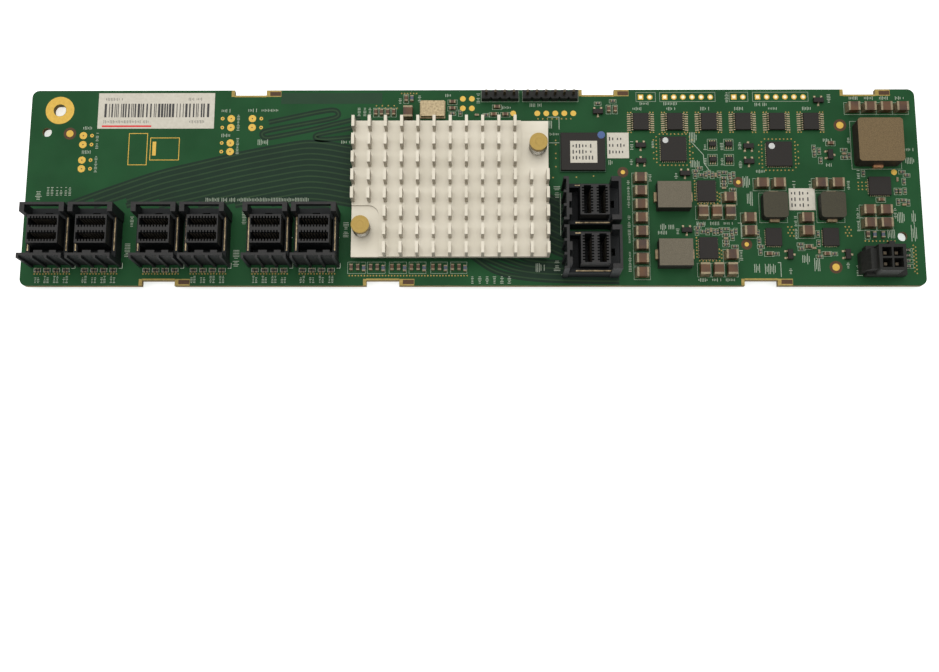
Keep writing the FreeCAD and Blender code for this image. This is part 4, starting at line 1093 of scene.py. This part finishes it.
top = {"brown": stood(level(21.4, (-26.7, -25.1, -23.4, -21.7)) + level(22.2, (38, 39.8))
                      + [(-18.3, 25.4), (107.7, -13.8)])
                + [(-5.4, 24.4), (-5.4, 22.5), (7, 22.9), (99, 12.2), (6.1, 20.7), (9.3, 20.7), (111.9, -4),
                   (91.5, -17.2), (96.4, -19.2), (80.8, -19.2)],
       "blue": stood([(-16.7, 25.4), (109.5, -13.9), (111.8, -13.9)]),
       "tan": [],
       "black": stood([(94.4, 9.2), (95.7, 10), (118.5, 1.2), (117.2, -1.6), (119.3, -4.8), (78.4, -18.6),
                       (78.2, -15.6), (103.9, 8.6), (-3.2, 21.2)])
                + [(35, 23.9), (102.6, 10.3), (119.4, 3), (82.6, -19.2), (94.4, -20), (89.6, -17.8),
                   (118.2, -19.7), (118.2, -22.7), (98.4, -19.2)]}
for x in (-33.4, -28.1, -22.3, -17, -11.2, -5.9):
    top["brown"] += stood([(x + 0.7, -22.9), (x + 2.5, -22.9)])
    top["blue"] += stood([(x + 4.1, -23.2)])
groupsOfTwo = (-4.1, -1.5, 1.1, 3.7)  # along each receptacle of the near row
for x in nearRow:
    for off in groupsOfTwo:
        top["black"] += stood([(x + off - 0.42, -23.75), (x + off + 0.42, -23.75)])
for rise in stageRises:
    top["tan"] += raised([(61.6, 4.2), (63.2, 3.1), (65.2, 3.6, up), (67, 3.1, up), (69.4, 3.8),
                          (71.9, 3.2, up), (69.2, 1.2), (69.2, -0.6), (61.4, 3.1, up)], rise)
    top["black"] += raised([(62.6, 5.1), (64.3, 3.2, up), (66.1, 3.1, up), (68, 3.4, up), (70.8, 2.9, up),
                            (69.2, 2.2), (69.2, 0.3), (71, 1.6, up), (71.6, -1.1)], rise)
top["tan"] += [
    (-5.4, 21), (1.4, 20.6), (4, 20.6), (94.3, 10.8, up), (96, 7.3, up), (102.6, 9.2), (102.6, 8.1),
    (107.5, 3.6, up), (118.2, 3.9), (116.7, 1.8, up), (116.2, -1.6, up), (118.6, -1.5, up), (118, -4.2),
    (118.2, -5.4), (116.6, -4.6, up), (78.6, -17.2), (94.3, -16.2, up), (94.3, -18.6, up),
    (77.9, -13.4, up), (94.2, -13.6, up), (89.4, -16.6), (93, -17.6), (118.2, -18.2), (118.2, -21.2),
    (39.2, 24.6),
]
top["black"] += top["tan"][::2] + top["tan"][1::4]  # most of the small ones are dark
top["tan"] = top["tan"][3::4]

under = {"brown": stood(level(19.6, (9, 5.8, 2.4, -0.9)) + run(-5.6, -22.9, -5.5, 0, 6)
                        + level(20.7, (-21.2, -22.8, -24.5, -26.1)) + level(16.8, (-12, -13.2))
                        + level(11.8, (-6, -7.6)) + [(10.6, -1.9), (9.2, -2.2), (11.9, -2.2)])}
under["tan"] = stood(level(19.6, (7.4, 4.1, 0.8, -2.3)) + run(-6.2, 7, 0, -1.3, 6)
                     + column(-6.2, (-2.6, -4.2, -5.6, -7)) + run(4.3, -2.8, 0, -1.35, 4)
                     + column(-10.2, (3.3, 2, 0.8))
                     + [(-9.2, -4.3), (-14.2, -12.4), (-15.8, -2.2), (0.6, -3.3), (-0.7, -3.3), (-1.1, 4.3),
                        (-0.8, 9.4), (6.3, 9.5), (112, 1.8), (110, 1.8), (107.7, 2.6), (114, -1.6),
                        (119.4, -4.6), (118.2, -4.6), (95.6, 7.3)])
under["tan"] += run(-13, -1.2, 1.35, 0, 15) + column(-13, (6, 3.9, 1.9, -3.2, -5.2, -6.8, -8.4))
under["tan"] += column(8.6, (5.7, 4.4, 3.1)) + level(-8.3, (-4.6, -8.2, -9.8))
under["tan"] += [(-11.2, 6), (-3.5, 5.2), (-2.8, 2.9), (-3.3, -6.2), (-6.1, -11), (-1.2, 6), (-1, 1),
                 (3.5, 5.4), (2.6, 9.3), (-2.6, 10.7), (53.6, 14)]
under["black"] = stood(run(12.7, 14.5, -1.3, 0, 13) + run(34.6, 4.4, -1.3, 0, 3)
                       + run(29.2, 3.7, -1.3, 0, 3)
                       + [(116.8, 1.6), (116.6, -4.8), (115, -5.4), (97.4, 17.4), (100.6, 9.2), (58.7, 12),
                          (87.6, 10.8), (33.6, 14.5), (32.3, 14.5)])
under["black"] += field(10.4, -4.6, 3.2, -1.3, 2, 10) + run(16.6, -4.6, 0, -1.3, 3)
under["black"] += run(36.2, 11.8, 0, -1.3, 3) + level(18.5, (27.6, 25, 20, 17.6))
under["black"] += [(118.6, 3.2), (118.6, 0.8), (117, -1.8), (98.6, 23.4), (98.6, 22.4), (52.2, 11),
                   (81.2, 9.6), (47.2, 12), (47.2, 14.2)]
for x in [middle + off for middle in nearRow[:4] for off in (-5.6, 4.6)]:
    under["black"].append((x, -21.8))
    under["tan"].append((x, -23.1))
for x in (-44.6, -52, -57.6, -69.3, -38.6):
    under["tan"].append((x - 0.7, -9.6, up))
    under["black"].append((x + 0.7, -9.6, up))
for x in driverRow:
    under["black"] += run(x - 3.5, 20.4, 0.1, -0.8, 5)
    under["tan"].append((x - 6.8, 20.6))
for rise in stageRises:
    under["tan"] += raised([(66.8, 0.4, up), (65.2, 0.2, up), (63.4, 0.2, up), (69.2, 1, up), (64, -2.3),
                            (65.6, -3.7), (62.2, -3.6), (62.2, -4.9)], rise)
    under["black"] += raised([(68, 3.7), (66.3, 3.7), (62.2, 2.2), (58.6, 2), (58.6, 0.3), (62, 4.5)], rise)
for x in (99, 83.2):
    under["black"] += run(x - 5.4, -15, 0.1, -1.1, 5) + stood(run(x + 3.5, -19.5, -1.25, 0, 6))
    under["tan"] += stood([(x, -16.2), (x - 1.6, -16), (x - 3, -15.4)])
    under["tan"] += [(x + 1.6, -13.2), (x - 1.6, -13.2), (x + 3.2, -16.6)]

# each kind's form, its body on top and below; the ends are dull on top and bright below
smallParts = {"brown": ("0603", "capacitor_ceramic", "amber_ceramic"),
              "blue": ("0603", "chip_blue", "chip_blue"),
              "tan": ("0402", "chip_tan", "amber_ceramic"),
              "black": ("0402", "chip_black", "chip_black")}
for face, parts, metal, underside in (("top", top, "dull_terminal", False),
                                      ("under", under, "bright_terminal", True)):
    laid = []
    for kind, places in parts.items():
        form, *bodies = smallParts[kind]
        small = chipPart(form, bodies[underside], metal)
        laid += lay(small, places, underside)
        drop(small)
    carry(joinUp("small_chip_parts_" + face, laid), "capacitor_ceramic")
print("small chip parts laid")

# white print on both faces: frames round groups, corner brackets, and rows of plain ticks by the parts
silk = {"line": 0.17, "tick": 0.22, "pitch": 0.44, "high": 0.024, "seed": 11, "gapAt": 5, "gapShare": 0.4,
        "reaches": (1, 1, 0.7, 0.55), "clear": 0.6, "rowEdge": -20.5}
random.seed(silk["seed"])


def ticks(x, y, length, tall):
    # one row of strokes of uneven height, along the board or, where the length is negative, across it
    strokes = []
    for index in range(int(abs(length) / silk["pitch"])):
        if index % silk["gapAt"] == silk["gapAt"] - 1 and random.random() < silk["gapShare"]:
            continue
        start = index * silk["pitch"] - abs(length) / 2
        reach = tall / 2 * random.choice(silk["reaches"])
        if length > 0:
            strokes.append([(x + start, y - reach), (x + start, y + reach)])
        else:
            strokes.append([(x - reach, y + start), (x + reach, y + start)])
    return strokes


def frameLine(x0, x1, y0, y1):
    return [(x0, y0), (x1, y0), (x1, y1), (x0, y1)]


def framed(places, wide, deep):
    return [frameLine(x - wide, x + wide, y - deep, y + deep) for x, y in places]


def chipFrames(parts):
    reach = {"black": (0.95, 0.5), "brown": (1.3, 0.68), "tan": (0.95, 0.5)}
    outlines = []
    for kind, places in parts.items():
        for x, y, *turn in places:
            outlines += framed([(x, y)], *(reach[kind][::-1] if turn else reach[kind]))
    return outlines


def printWhite(face, frames, strokes, frameLook, strokeLook):
    underside = face == "under"
    printed = [strip("frames", frames, silk["line"], silk["high"], frameLook, underside, curved=False,
                     closed=True),
               strip("strokes", strokes, silk["tick"], silk["high"], strokeLook, underside, curved=False)]
    carry(joinUp("white_print_" + face, printed), "paper")


headers = ((45.7, 51.1), (52.3, 67.7), (71.6, 76.8), (78.1, 93.5))
frames = [frameLine(x0, x1, 24.5, 27.2) for x0, x1 in headers]
frames += [frameLine(x0, x1, 24.5, 27.5) for x0, x1 in ((2.6, 13.1), (14.1, 29.6))]
frames += framed(run(46.2, 2, 0, -3.8, 8) + run(105.5, 22.35, 4.45, 0, 4), 2.2, 1.75)
frames += framed(level(0.4, (79.4, 84, 95.4, 100)) + field(75.6, -9.4, 15.6, -3.7, 2, 2), 2.2, 1.75)
frames += framed(field(108.1, -7.2, 4.5, -3.7, 2, 2), 2.2, 1.75)
frames += framed(field(66.4, 11.9, 4.5, -4.4, 2, 2), 1.3, 1.6)
frames += framed(level(-6.2, (82.4, 98)), 3.8, 4.2) + framed([(111.4, 11.7)], 6.8, 6.9)
frames += framed(column(118.3, (-18.2, -19.7, -21.2, -22.7)), 1.3, 0.5)
for rise in stageRises:
    frames += framed(run(63, -7.6 + rise, 3.7, 0, 3), 1.8, 1.9) + framed([(70.45, -3.6 + rise)], 2.15, 1.8)
for index, x in enumerate((-33.7, -28.4, -22.6, -17.3, -11.5, -6.2)):
    frames.append(frameLine(x + 0.1 * index, x + 4.9, -24.6, -21.4))
strokes = []
for x in nearRow:
    strokes.append([(x + 5.2, -23.1), (x + 6.15, -23.1), (x + 6.15, -21.6)])
    for middle in [x + off for off in groupsOfTwo]:
        left, right = middle - 0.9, middle + 0.9
        strokes.append([(left, -24.2), (left, -23.1), (right, -23.1), (right, -24.2)])
        if abs(x - bare["near"][0]) > bare["half"]:
            strokes += ticks(middle - 0.4, -26, -2.2, 0.6) + ticks(middle + 0.4, -26, -2.2, 0.6)
for x in driverRow:
    strokes += ticks(x - 0.6, 22.4, 2.8, 1.0)
topRows = [
    (-106.6, 17, 2.9, 1), (-106.6, 10, 2.9, 1), (-104.1, 13.6, -5, 0.8), (-104.1, 6.8, -5, 0.8),
    (-68.2, 22, 2.9, 1), (-68, 14.8, 2.9, 1), (-65, 18.8, -5, 0.8), (-65, 12, -5, 0.8),
    (-60.8, 22.1, 2.9, 1), (-56, 22.1, 5, 0.8), (-57.7, 12.8, 3.2, 1.6), (-119.4, -2.2, -2.8, 1.8),
    (-94, -17.6, -4.4, 1.5), (-93.2, -9.6, -3.4, 1), (-64.2, -20, -5, 1.7), (-62.4, -8.6, -4, 1.2),
    (-34.4, -12, -4.6, 1.5), (-34.6, 12.8, 3, 0.9), (1.8, 25.8, -3.2, 1), (18, 23.5, 3.6, 1),
    (10, 22.8, 3, 0.8), (23.4, -1.4, -3.6, 1.8), (23.2, -22.2, -3.2, 1.8), (22, 17.8, 2.4, 2.2),
    (23.2, 15, 3, 0.8), (38.6, 6.8, 1.6, 1.4), (48.2, 23.9, 2.8, 0.9), (55.4, 23.9, 4, 1),
    (70.9, 26, -3.2, 1), (80.6, 23.6, 3.8, 1), (99.2, 25.6, -2.8, 1), (50, 12.4, -2.6, 0.9),
    (44.2, 12, -2.8, 0.9), (44, 7.2, -2, 0.9), (64.4, 11.8, -2.6, 0.9), (64.4, 7.4, -2.6, 0.9),
    (69, 11.8, -2.6, 0.9), (69, 7.4, -2.6, 0.9), (74, 12, -2.6, 0.9), (74, 6.6, -2.6, 0.9),
    (61.6, 14, 2.6, 3), (61.8, 6.4, 2.8, 2), (56.2, 3.2, -1.8, 1), (56.2, -12.6, -1.8, 1),
    (53.6, -11.6, 4, 1.8), (52.4, -13.2, 3, 1), (63, -10.6, 3, 1), (66.7, -10.6, 3, 1),
    (70.4, -10.6, 3, 1), (63, -26.4, 3, 1), (66.7, -26.4, 3, 1), (70.4, -26.4, 3, 1),
    (73.2, -19.2, -3.4, 0.9), (75.6, 1.2, 2.2, 3.2), (76.6, -3.6, 2.2, 4), (79.8, 4.2, 3, 1),
    (88.4, 0.6, -3, 0.8), (92.8, 0.6, -3, 0.8), (103.3, 0.6, -3, 0.8), (88.4, -9.6, -3.4, 0.8),
    (88.4, -13.2, -3.4, 0.8), (98.6, 13.2, 3, 0.9), (98.6, 6, 2, 0.9), (104, 13.4, -2, 1.2),
    (106.4, 25.4, 3, 1), (110.6, 25.4, 3, 1), (114.8, 25.4, 3, 1), (119.2, 25.4, 3, 1),
    (120.8, 10.4, 2.8, 0.9), (120.8, 7.2, 2.8, 1.8), (106.2, 3.6, -2.8, 0.8), (105.4, -7.4, -3.4, 0.8),
    (105.4, -11, -3.4, 0.8), (115.6, -7.4, -3.4, 0.8), (117.4, -9, 2.4, 3), (120.8, -9, 1.4, 4),
    (120.8, -13.4, 2.2, 4.6), (114.4, -13.6, 2.2, 2.4), (105, -23.6, -3.2, 1.6), (102, -22.2, -1.8, 0.9),
    (77.6, -23.2, 1.8, 2.4), (81.2, -23.4, 3.2, 2.8), (91, -20.6, 2.4, 3), (94.2, -22.2, 2.4, 3.6),
    (86.4, -23.4, -2.6, 0.9), (43, -2, -8, 0.8), (43, -12, -8, 0.8), (43, -21, -6, 0.8),
    (49, 2.8, -2.6, 0.8), (-20, 25.4, -2.6, 0.9), (-14.6, 25.8, -2.6, 0.9), (-6.4, 26.4, 1.8, 0.9),
    (-31.4, 22, -3, 0.8), (-29.8, 22, -3, 0.8), (-28.4, 22, -3, 0.8), (19, -23, 3, 2.4),
]
for row in topRows:
    strokes += ticks(*row)
for x in (-116.8, -115.7, -114.3, -113.2, -111.9, -110.8):
    strokes += ticks(x, -1, -2.8, 0.7)
for x in (0.2, 2.2, 4.2, 6.2, 8.2, 10.2):
    strokes += ticks(x, -26, -2.6, 0.9)
strokes += ticks(-58.6, -3.8, 29, 1.2)
strokes += [[(21, 20), (24.2, 20), (24.2, 16.4)], [(24.2, 12.5), (21.4, 12.5)], [(24.3, -14), (24.3, -2)],
            [(24.3, -25), (28.6, -25)], [(30, -25), (34, -25)], [(83.8, -25.6), (83.8, -21.6), (83, -21.6)],
            [(73.6, -14.5), (73.6, -10.5), (72.6, -10.5)], [(61, 12.4), (63.9, 9), (64, 6.6), (65.4, 4.4)]]
clearOfRow = {kind: [place for place in top[kind] if place[1] > silk["rowEdge"]]
              for kind in ("black", "brown")}
printWhite("top", frames + chipFrames(clearOfRow), strokes, "thin_silk", "dull_silk")

frames = [frameLine(-121, -101.6, 23.8, 26.8), frameLine(-94, -82, 11.4, 22.4),
          frameLine(80.2, 76, -25.6, -21.4), frameLine(101.9, 106.2, -27.4, -22)]
for spot, size in looseBodies("bottom_capacitors"):
    frames += framed([spot.xy], size.x / 2 + silk["clear"], size.y / 2 + silk["clear"])
strokes = [
    [(-70.2, 27), (-70.2, 22), (-73.2, 22), (-73.2, 14.6), (-80.8, 14.6)], [(18.6, -3.6), (18.6, -8.6)],
    [(15.6, -8.8), (15.6, -17.2), (9.4, -17.2)], [(121.4, 2), (121.4, 9.4), (114.8, 9.4), (114.8, 7)],
    [(95, 2.4), (92.5, 5.2), (89, 5.2), (86.6, 3), (86.6, -0.6), (88.4, -2.2), (93.4, -2.2), (95, 0)],
    [(86.6, 1.6), (84.8, 0.2), (77, 0.2)], [(13.6, 12), (11, 10.6), (11, 7), (10.2, 5.4)],
]
underRows = [
    (-55, 22.2, 14, 0.7), (-55, 21.2, 14, 0.7), (-55, 20.2, 14, 0.7), (-76, 20.8, -10, 2.8),
    (-79.6, 20.8, -10, 2.8), (-99, 14.8, -6.4, 3.2), (-89, 6.4, -3.6, 3), (-94, 6.4, -3.6, 3),
    (-99, 6.4, -3.6, 3), (-84, 10.8, 14, 0.7), (-84, 9.6, 14, 0.7), (-72, 25, -3, 2.4), (-88, 18, -7, 3),
    (-92, 19, 3, 2.4), (-84.5, 14, 4, 0.9), (-20.8, -2.4, 3, 0.9), (-13.8, -16.6, 3, 0.9),
    (-7, -16.6, -3, 0.9), (-26.6, 10.4, 2.6, 1), (-26.6, 8.9, 5, 0.9), (-63, 10.4, 2.6, 1),
    (-63, 8.5, 5, 0.9), (74, 22.6, -5, 3), (64.6, 22.6, -5, 3), (84, 22.2, -5, 3), (93.4, 22.2, -5, 3),
    (51, 17.6, -4, 2.6), (41, 17.6, -4, 2.6), (38, 7, 3.4, 2.2), (39, 2, -4, 2), (56.6, -7, 3.6, 3),
    (75, -17.6, 5, 2.2), (90, -24.6, -5, 3), (95, -25, 3.4, 3.6), (104, -24.6, 3.6, 2.6),
    (117, -8.4, -3.8, 3), (114, 12.6, -2.8, 0.8), (110.2, 12.6, -2.8, 0.8), (118, 25.3, 3, 0.9),
    (112, 25.3, 3, 0.9), (102, 25.3, 3, 0.9), (6.6, 1, 2.6, 2.4), (14, 11, 2.6, 2.8), (27, 22, -2.6, 0.9),
    (24.6, 22, -2.6, 0.9), (20, 22, -2.6, 0.9), (17.2, 22, -2.6, 0.9), (-10, 24.4, 3, 2.8),
    (-18, 17, 3.6, 1), (-2, 26.4, 2.6, 1.6), (4.6, -14.4, 3, 1), (4.6, -13, 3, 1), (29, -4.2, 3, 1),
    (24.6, -17.5, 3, 1), (65, 6, 5, 1), (92, 12, 3.4, 2),
]
for row in underRows:
    strokes += ticks(*row)
printWhite("under", frames + chipFrames(under), strokes, "white_silk", "white_silk")
print("white print done")

# gold outlines etched in the mask, left empty but for one bar
gold = {"line": 0.27, "high": 0.026, "bar": (-88.6, -87.6, 9, 13, 0.024),
        "outlines": [frameLine(-95.2, -90.1, 6.3, 15.4), frameLine(-89.2, -81.2, 7.7, 14.1)]}
etched = [strip("gold_lines", gold["outlines"], gold["line"], gold["high"], "plated_gold", curved=False,
                closed=True),
          plate(*gold["bar"], "plated_gold")]
carry(joinUp("gold_outlines", etched), "contact_metal")

# print on the paper labels: bars and one red rule, raised by the ink alone
labelInk = {
    "bars": (-102.5, -73.5, 20.1, 24.1), "barWidths": (0.22, 0.22, 0.42, 0.62),
    "barGaps": (0.24, 0.24, 0.45, 0.66), "rule": (-103, -89.2, 17.25, 17.75), "lift": 0.1, "high": 0.012,
    "rowTall": 0.9, "rowWide": 0.2, "smallTall": 1.1, "smallWide": 0.42,
}


def inkRows(rows, width, rise):
    printed = strip("label_rows", rows, width, labelInk["high"], "label_black", curved=False)
    printed.data.transform(Matrix.Translation((0, 0, rise * mm)))
    return printed


x, barsEnd, barLow, barHigh = labelInk["bars"]
bars = []
while x < barsEnd:
    wide = random.choice(labelInk["barWidths"])
    bars.append(plate(x, x + wide, barLow, barHigh, labelInk["high"], "label_black"))
    x += wide + random.choice(labelInk["barGaps"])
bars.append(plate(*labelInk["rule"], labelInk["high"], "label_red"))
printed = [joinUp("label_print", bars)]
printed[0].data.transform(Matrix.Translation((0, 0, labelInk["lift"] * mm)))
rows = []
for x, y, length in ((-99.6, 25.4, 5), (-77, 25.4, 4), (-96, 18.8, 13), (-76.4, 18.8, 4.4)):
    rows += ticks(x, y, length, labelInk["rowTall"])
printed.append(inkRows(rows, labelInk["rowWide"], labelInk["lift"]))
for x, y, rise, length, spread in ((30.8, 9.4, 1.5, 5.8, 1.7), (40.4, 11.7, 0.1, 4.6, 1.9),
                                   (90.4, -3.8, 0.1, 5.6, 1.7)):
    rows = []
    for row in (-1, 0, 1):
        rows += ticks(x, y + row * spread, length, labelInk["smallTall"])[::2]
    printed.append(inkRows(rows, labelInk["smallWide"], rise))
carry(joinUp("label_print", printed), "paper")

# paint dots: blue on the controller, white at the first pin of each monitor chip
dabs = []
paintDots = [(35.7, 14.3, 1.4, 1.05, "blue_paint"), (53.4, 12.9, 0.9, 0.8, "white_paint"),
             (82.6, 11.2, 0.9, 0.85, "white_paint")]
dabForm = {"sides": 24, "half": 0.02, "rim": 0.3, "crown": 0.015}
for x, y, rise, radius, look in paintDots:
    dab = drum(dabForm["sides"], radius, rise - dabForm["half"], rise + dabForm["half"])
    dish(named(dab, "dab", look), radius * dabForm["rim"], dabForm["crown"])
    dabs += lay(dab, [(x, y)])
    drop(dab)
carry(joinUp("paint_dots", dabs))


# solder under the board: domes where tabs and pins come through, gold rounds at the push pins
def solderDome(wide, long, tall):
    clearSelection()
    bpy.ops.mesh.primitive_uv_sphere_add(segments=16, ring_count=8, radius=1)
    bpy.context.object.scale = (wide / 2 * mm, long / 2 * mm, tall * mm)
    dome = settled()
    choose(dome, everywhere)
    bpy.ops.mesh.bisect(plane_co=(0, 0, 0), plane_no=(0, 0, 1), clear_inner=True, use_fill=True)
    leave()
    hold(dome)
    bpy.ops.object.shade_smooth()
    return named(dome, "dome", "tinned_metal")


joints = {"tabX": 5.2, "tabY": 4.3, "oval": (1.1, 2.2, 0.35), "round": (1.7, 1.7, 0.5)}
oval, pinDome = solderDome(*joints["oval"]), solderDome(*joints["round"])
roundPad = roundLand(2.1, 1.75, 32)
soldered = []
for number in range(1, receptacle["count"] + 1):
    x, y = middleOf("receptacle_%d_contacts" % number)
    inRow = number <= len(nearRow)
    for offX in [hand * joints["tabX"] for hand in hands]:
        for offY in [hand * joints["tabY"] for hand in hands]:
            soldered += lay(oval, [(x + offX, y + offY) if inRow else (x + offY, y - offX, up)], True)
for node in ("header_four_way_pins", "header_six_way_pins", "power_receptacle_pins"):
    soldered += lay(pinDome, [spot.xy for spot, size in looseBodies(node)], True)
soldered += lay(roundPad, [middleOf("push_pin_spring_" + place) for place in pins], True)
drop(oval, pinDome, roundPad)
carry(joinUp("solder_under", soldered), "tin_metal")
print("solder joints laid")

# studio: white floor that keeps the shadow, one broad lamp overhead and a weak one behind the board
studio = {"floor": 3.0, "floorGap": 0.3, "floorWhite": (246, 246, 245), "lift": 0.6, "sky": 0.3,
          "lamps": [("overhead_lamp", (-0.08, 0.12, 0.85), 1.4, 8.6),
                    ("back_lamp", (-0.05, 0.5, 0.62), 0.6, 0.5)]}
seenRays = ("Is Camera Ray", "Is Glossy Ray", "Is Transmission Ray")


def layFloor():
    clearSelection()
    bpy.ops.mesh.primitive_plane_add(size=studio["floor"], location=(0, 0, -studio["floorGap"] * mm))
    floor = bpy.context.object
    floor.name = "floor"
    paint = Finish("floor_white", colour=ink(*studio["floorWhite"]), rough=0.8, specular=0.1, glowing=1.0)
    camera, glossy, through = [paint.node("LightPath", {}, {}, ray) for ray in seenRays]
    paint.paint(glow=paint.blend(camera + glossy + through, (0, 0, 0, 1), (studio["lift"],) * 3 + (1.0,)))
    floor.data.materials.append(paint.material)


def raiseSky():
    # white to the camera and in reflections, weaker as a light
    world = bpy.data.worlds.new("studio_sky")
    bpy.context.scene.world = world
    world.use_nodes = True
    nodes, links = world.node_tree.nodes, world.node_tree.links
    path = nodes.new("ShaderNodeLightPath")
    seen = path.outputs[seenRays[0]]
    for ray in seenRays[1:]:
        both = nodes.new("ShaderNodeMath")
        both.operation = "MAXIMUM"
        links.new(seen, both.inputs[0])
        links.new(path.outputs[ray], both.inputs[1])
        seen = both.outputs[0]
    strength = nodes.new("ShaderNodeMapRange")
    links.new(seen, strength.inputs["Value"])
    strength.inputs["To Min"].default_value = studio["sky"]
    nodes["Background"].inputs["Color"].default_value = (1, 1, 1, 1)
    links.new(strength.outputs[0], nodes["Background"].inputs["Strength"])


def hangLamps():
    for name, spot, size, watts in studio["lamps"]:
        bpy.ops.object.light_add(type="AREA", location=spot)
        lamp = bpy.context.object
        lamp.name = name
        lamp.data.size = size
        lamp.data.energy = watts
        lamp.rotation_euler = (-Vector(spot)).to_track_quat("-Z", "Y").to_euler()


# the camera of the photograph, in metres and radians
cameraSet = {"spot": (0.00239, -0.1005, 0.3220), "nod": 0.1825, "sway": 0.0091, "lens": 46.11,
             "sensor": 36.0, "near": 0.01}


def setCamera():
    bpy.ops.object.camera_add(location=cameraSet["spot"])
    camera = bpy.context.object
    turn = Matrix.Rotation(cameraSet["nod"], 3, "X") @ Matrix.Rotation(cameraSet["sway"], 3, "Y")
    camera.rotation_euler = turn.to_euler()
    camera.data.lens = cameraSet["lens"]
    camera.data.sensor_width = cameraSet["sensor"]
    camera.data.clip_start = cameraSet["near"]
    bpy.context.scene.camera = camera


layFloor()
raiseSky()
hangLamps()
setCamera()
bpy.context.scene.view_settings.view_transform = "Standard"
print("studio laid")
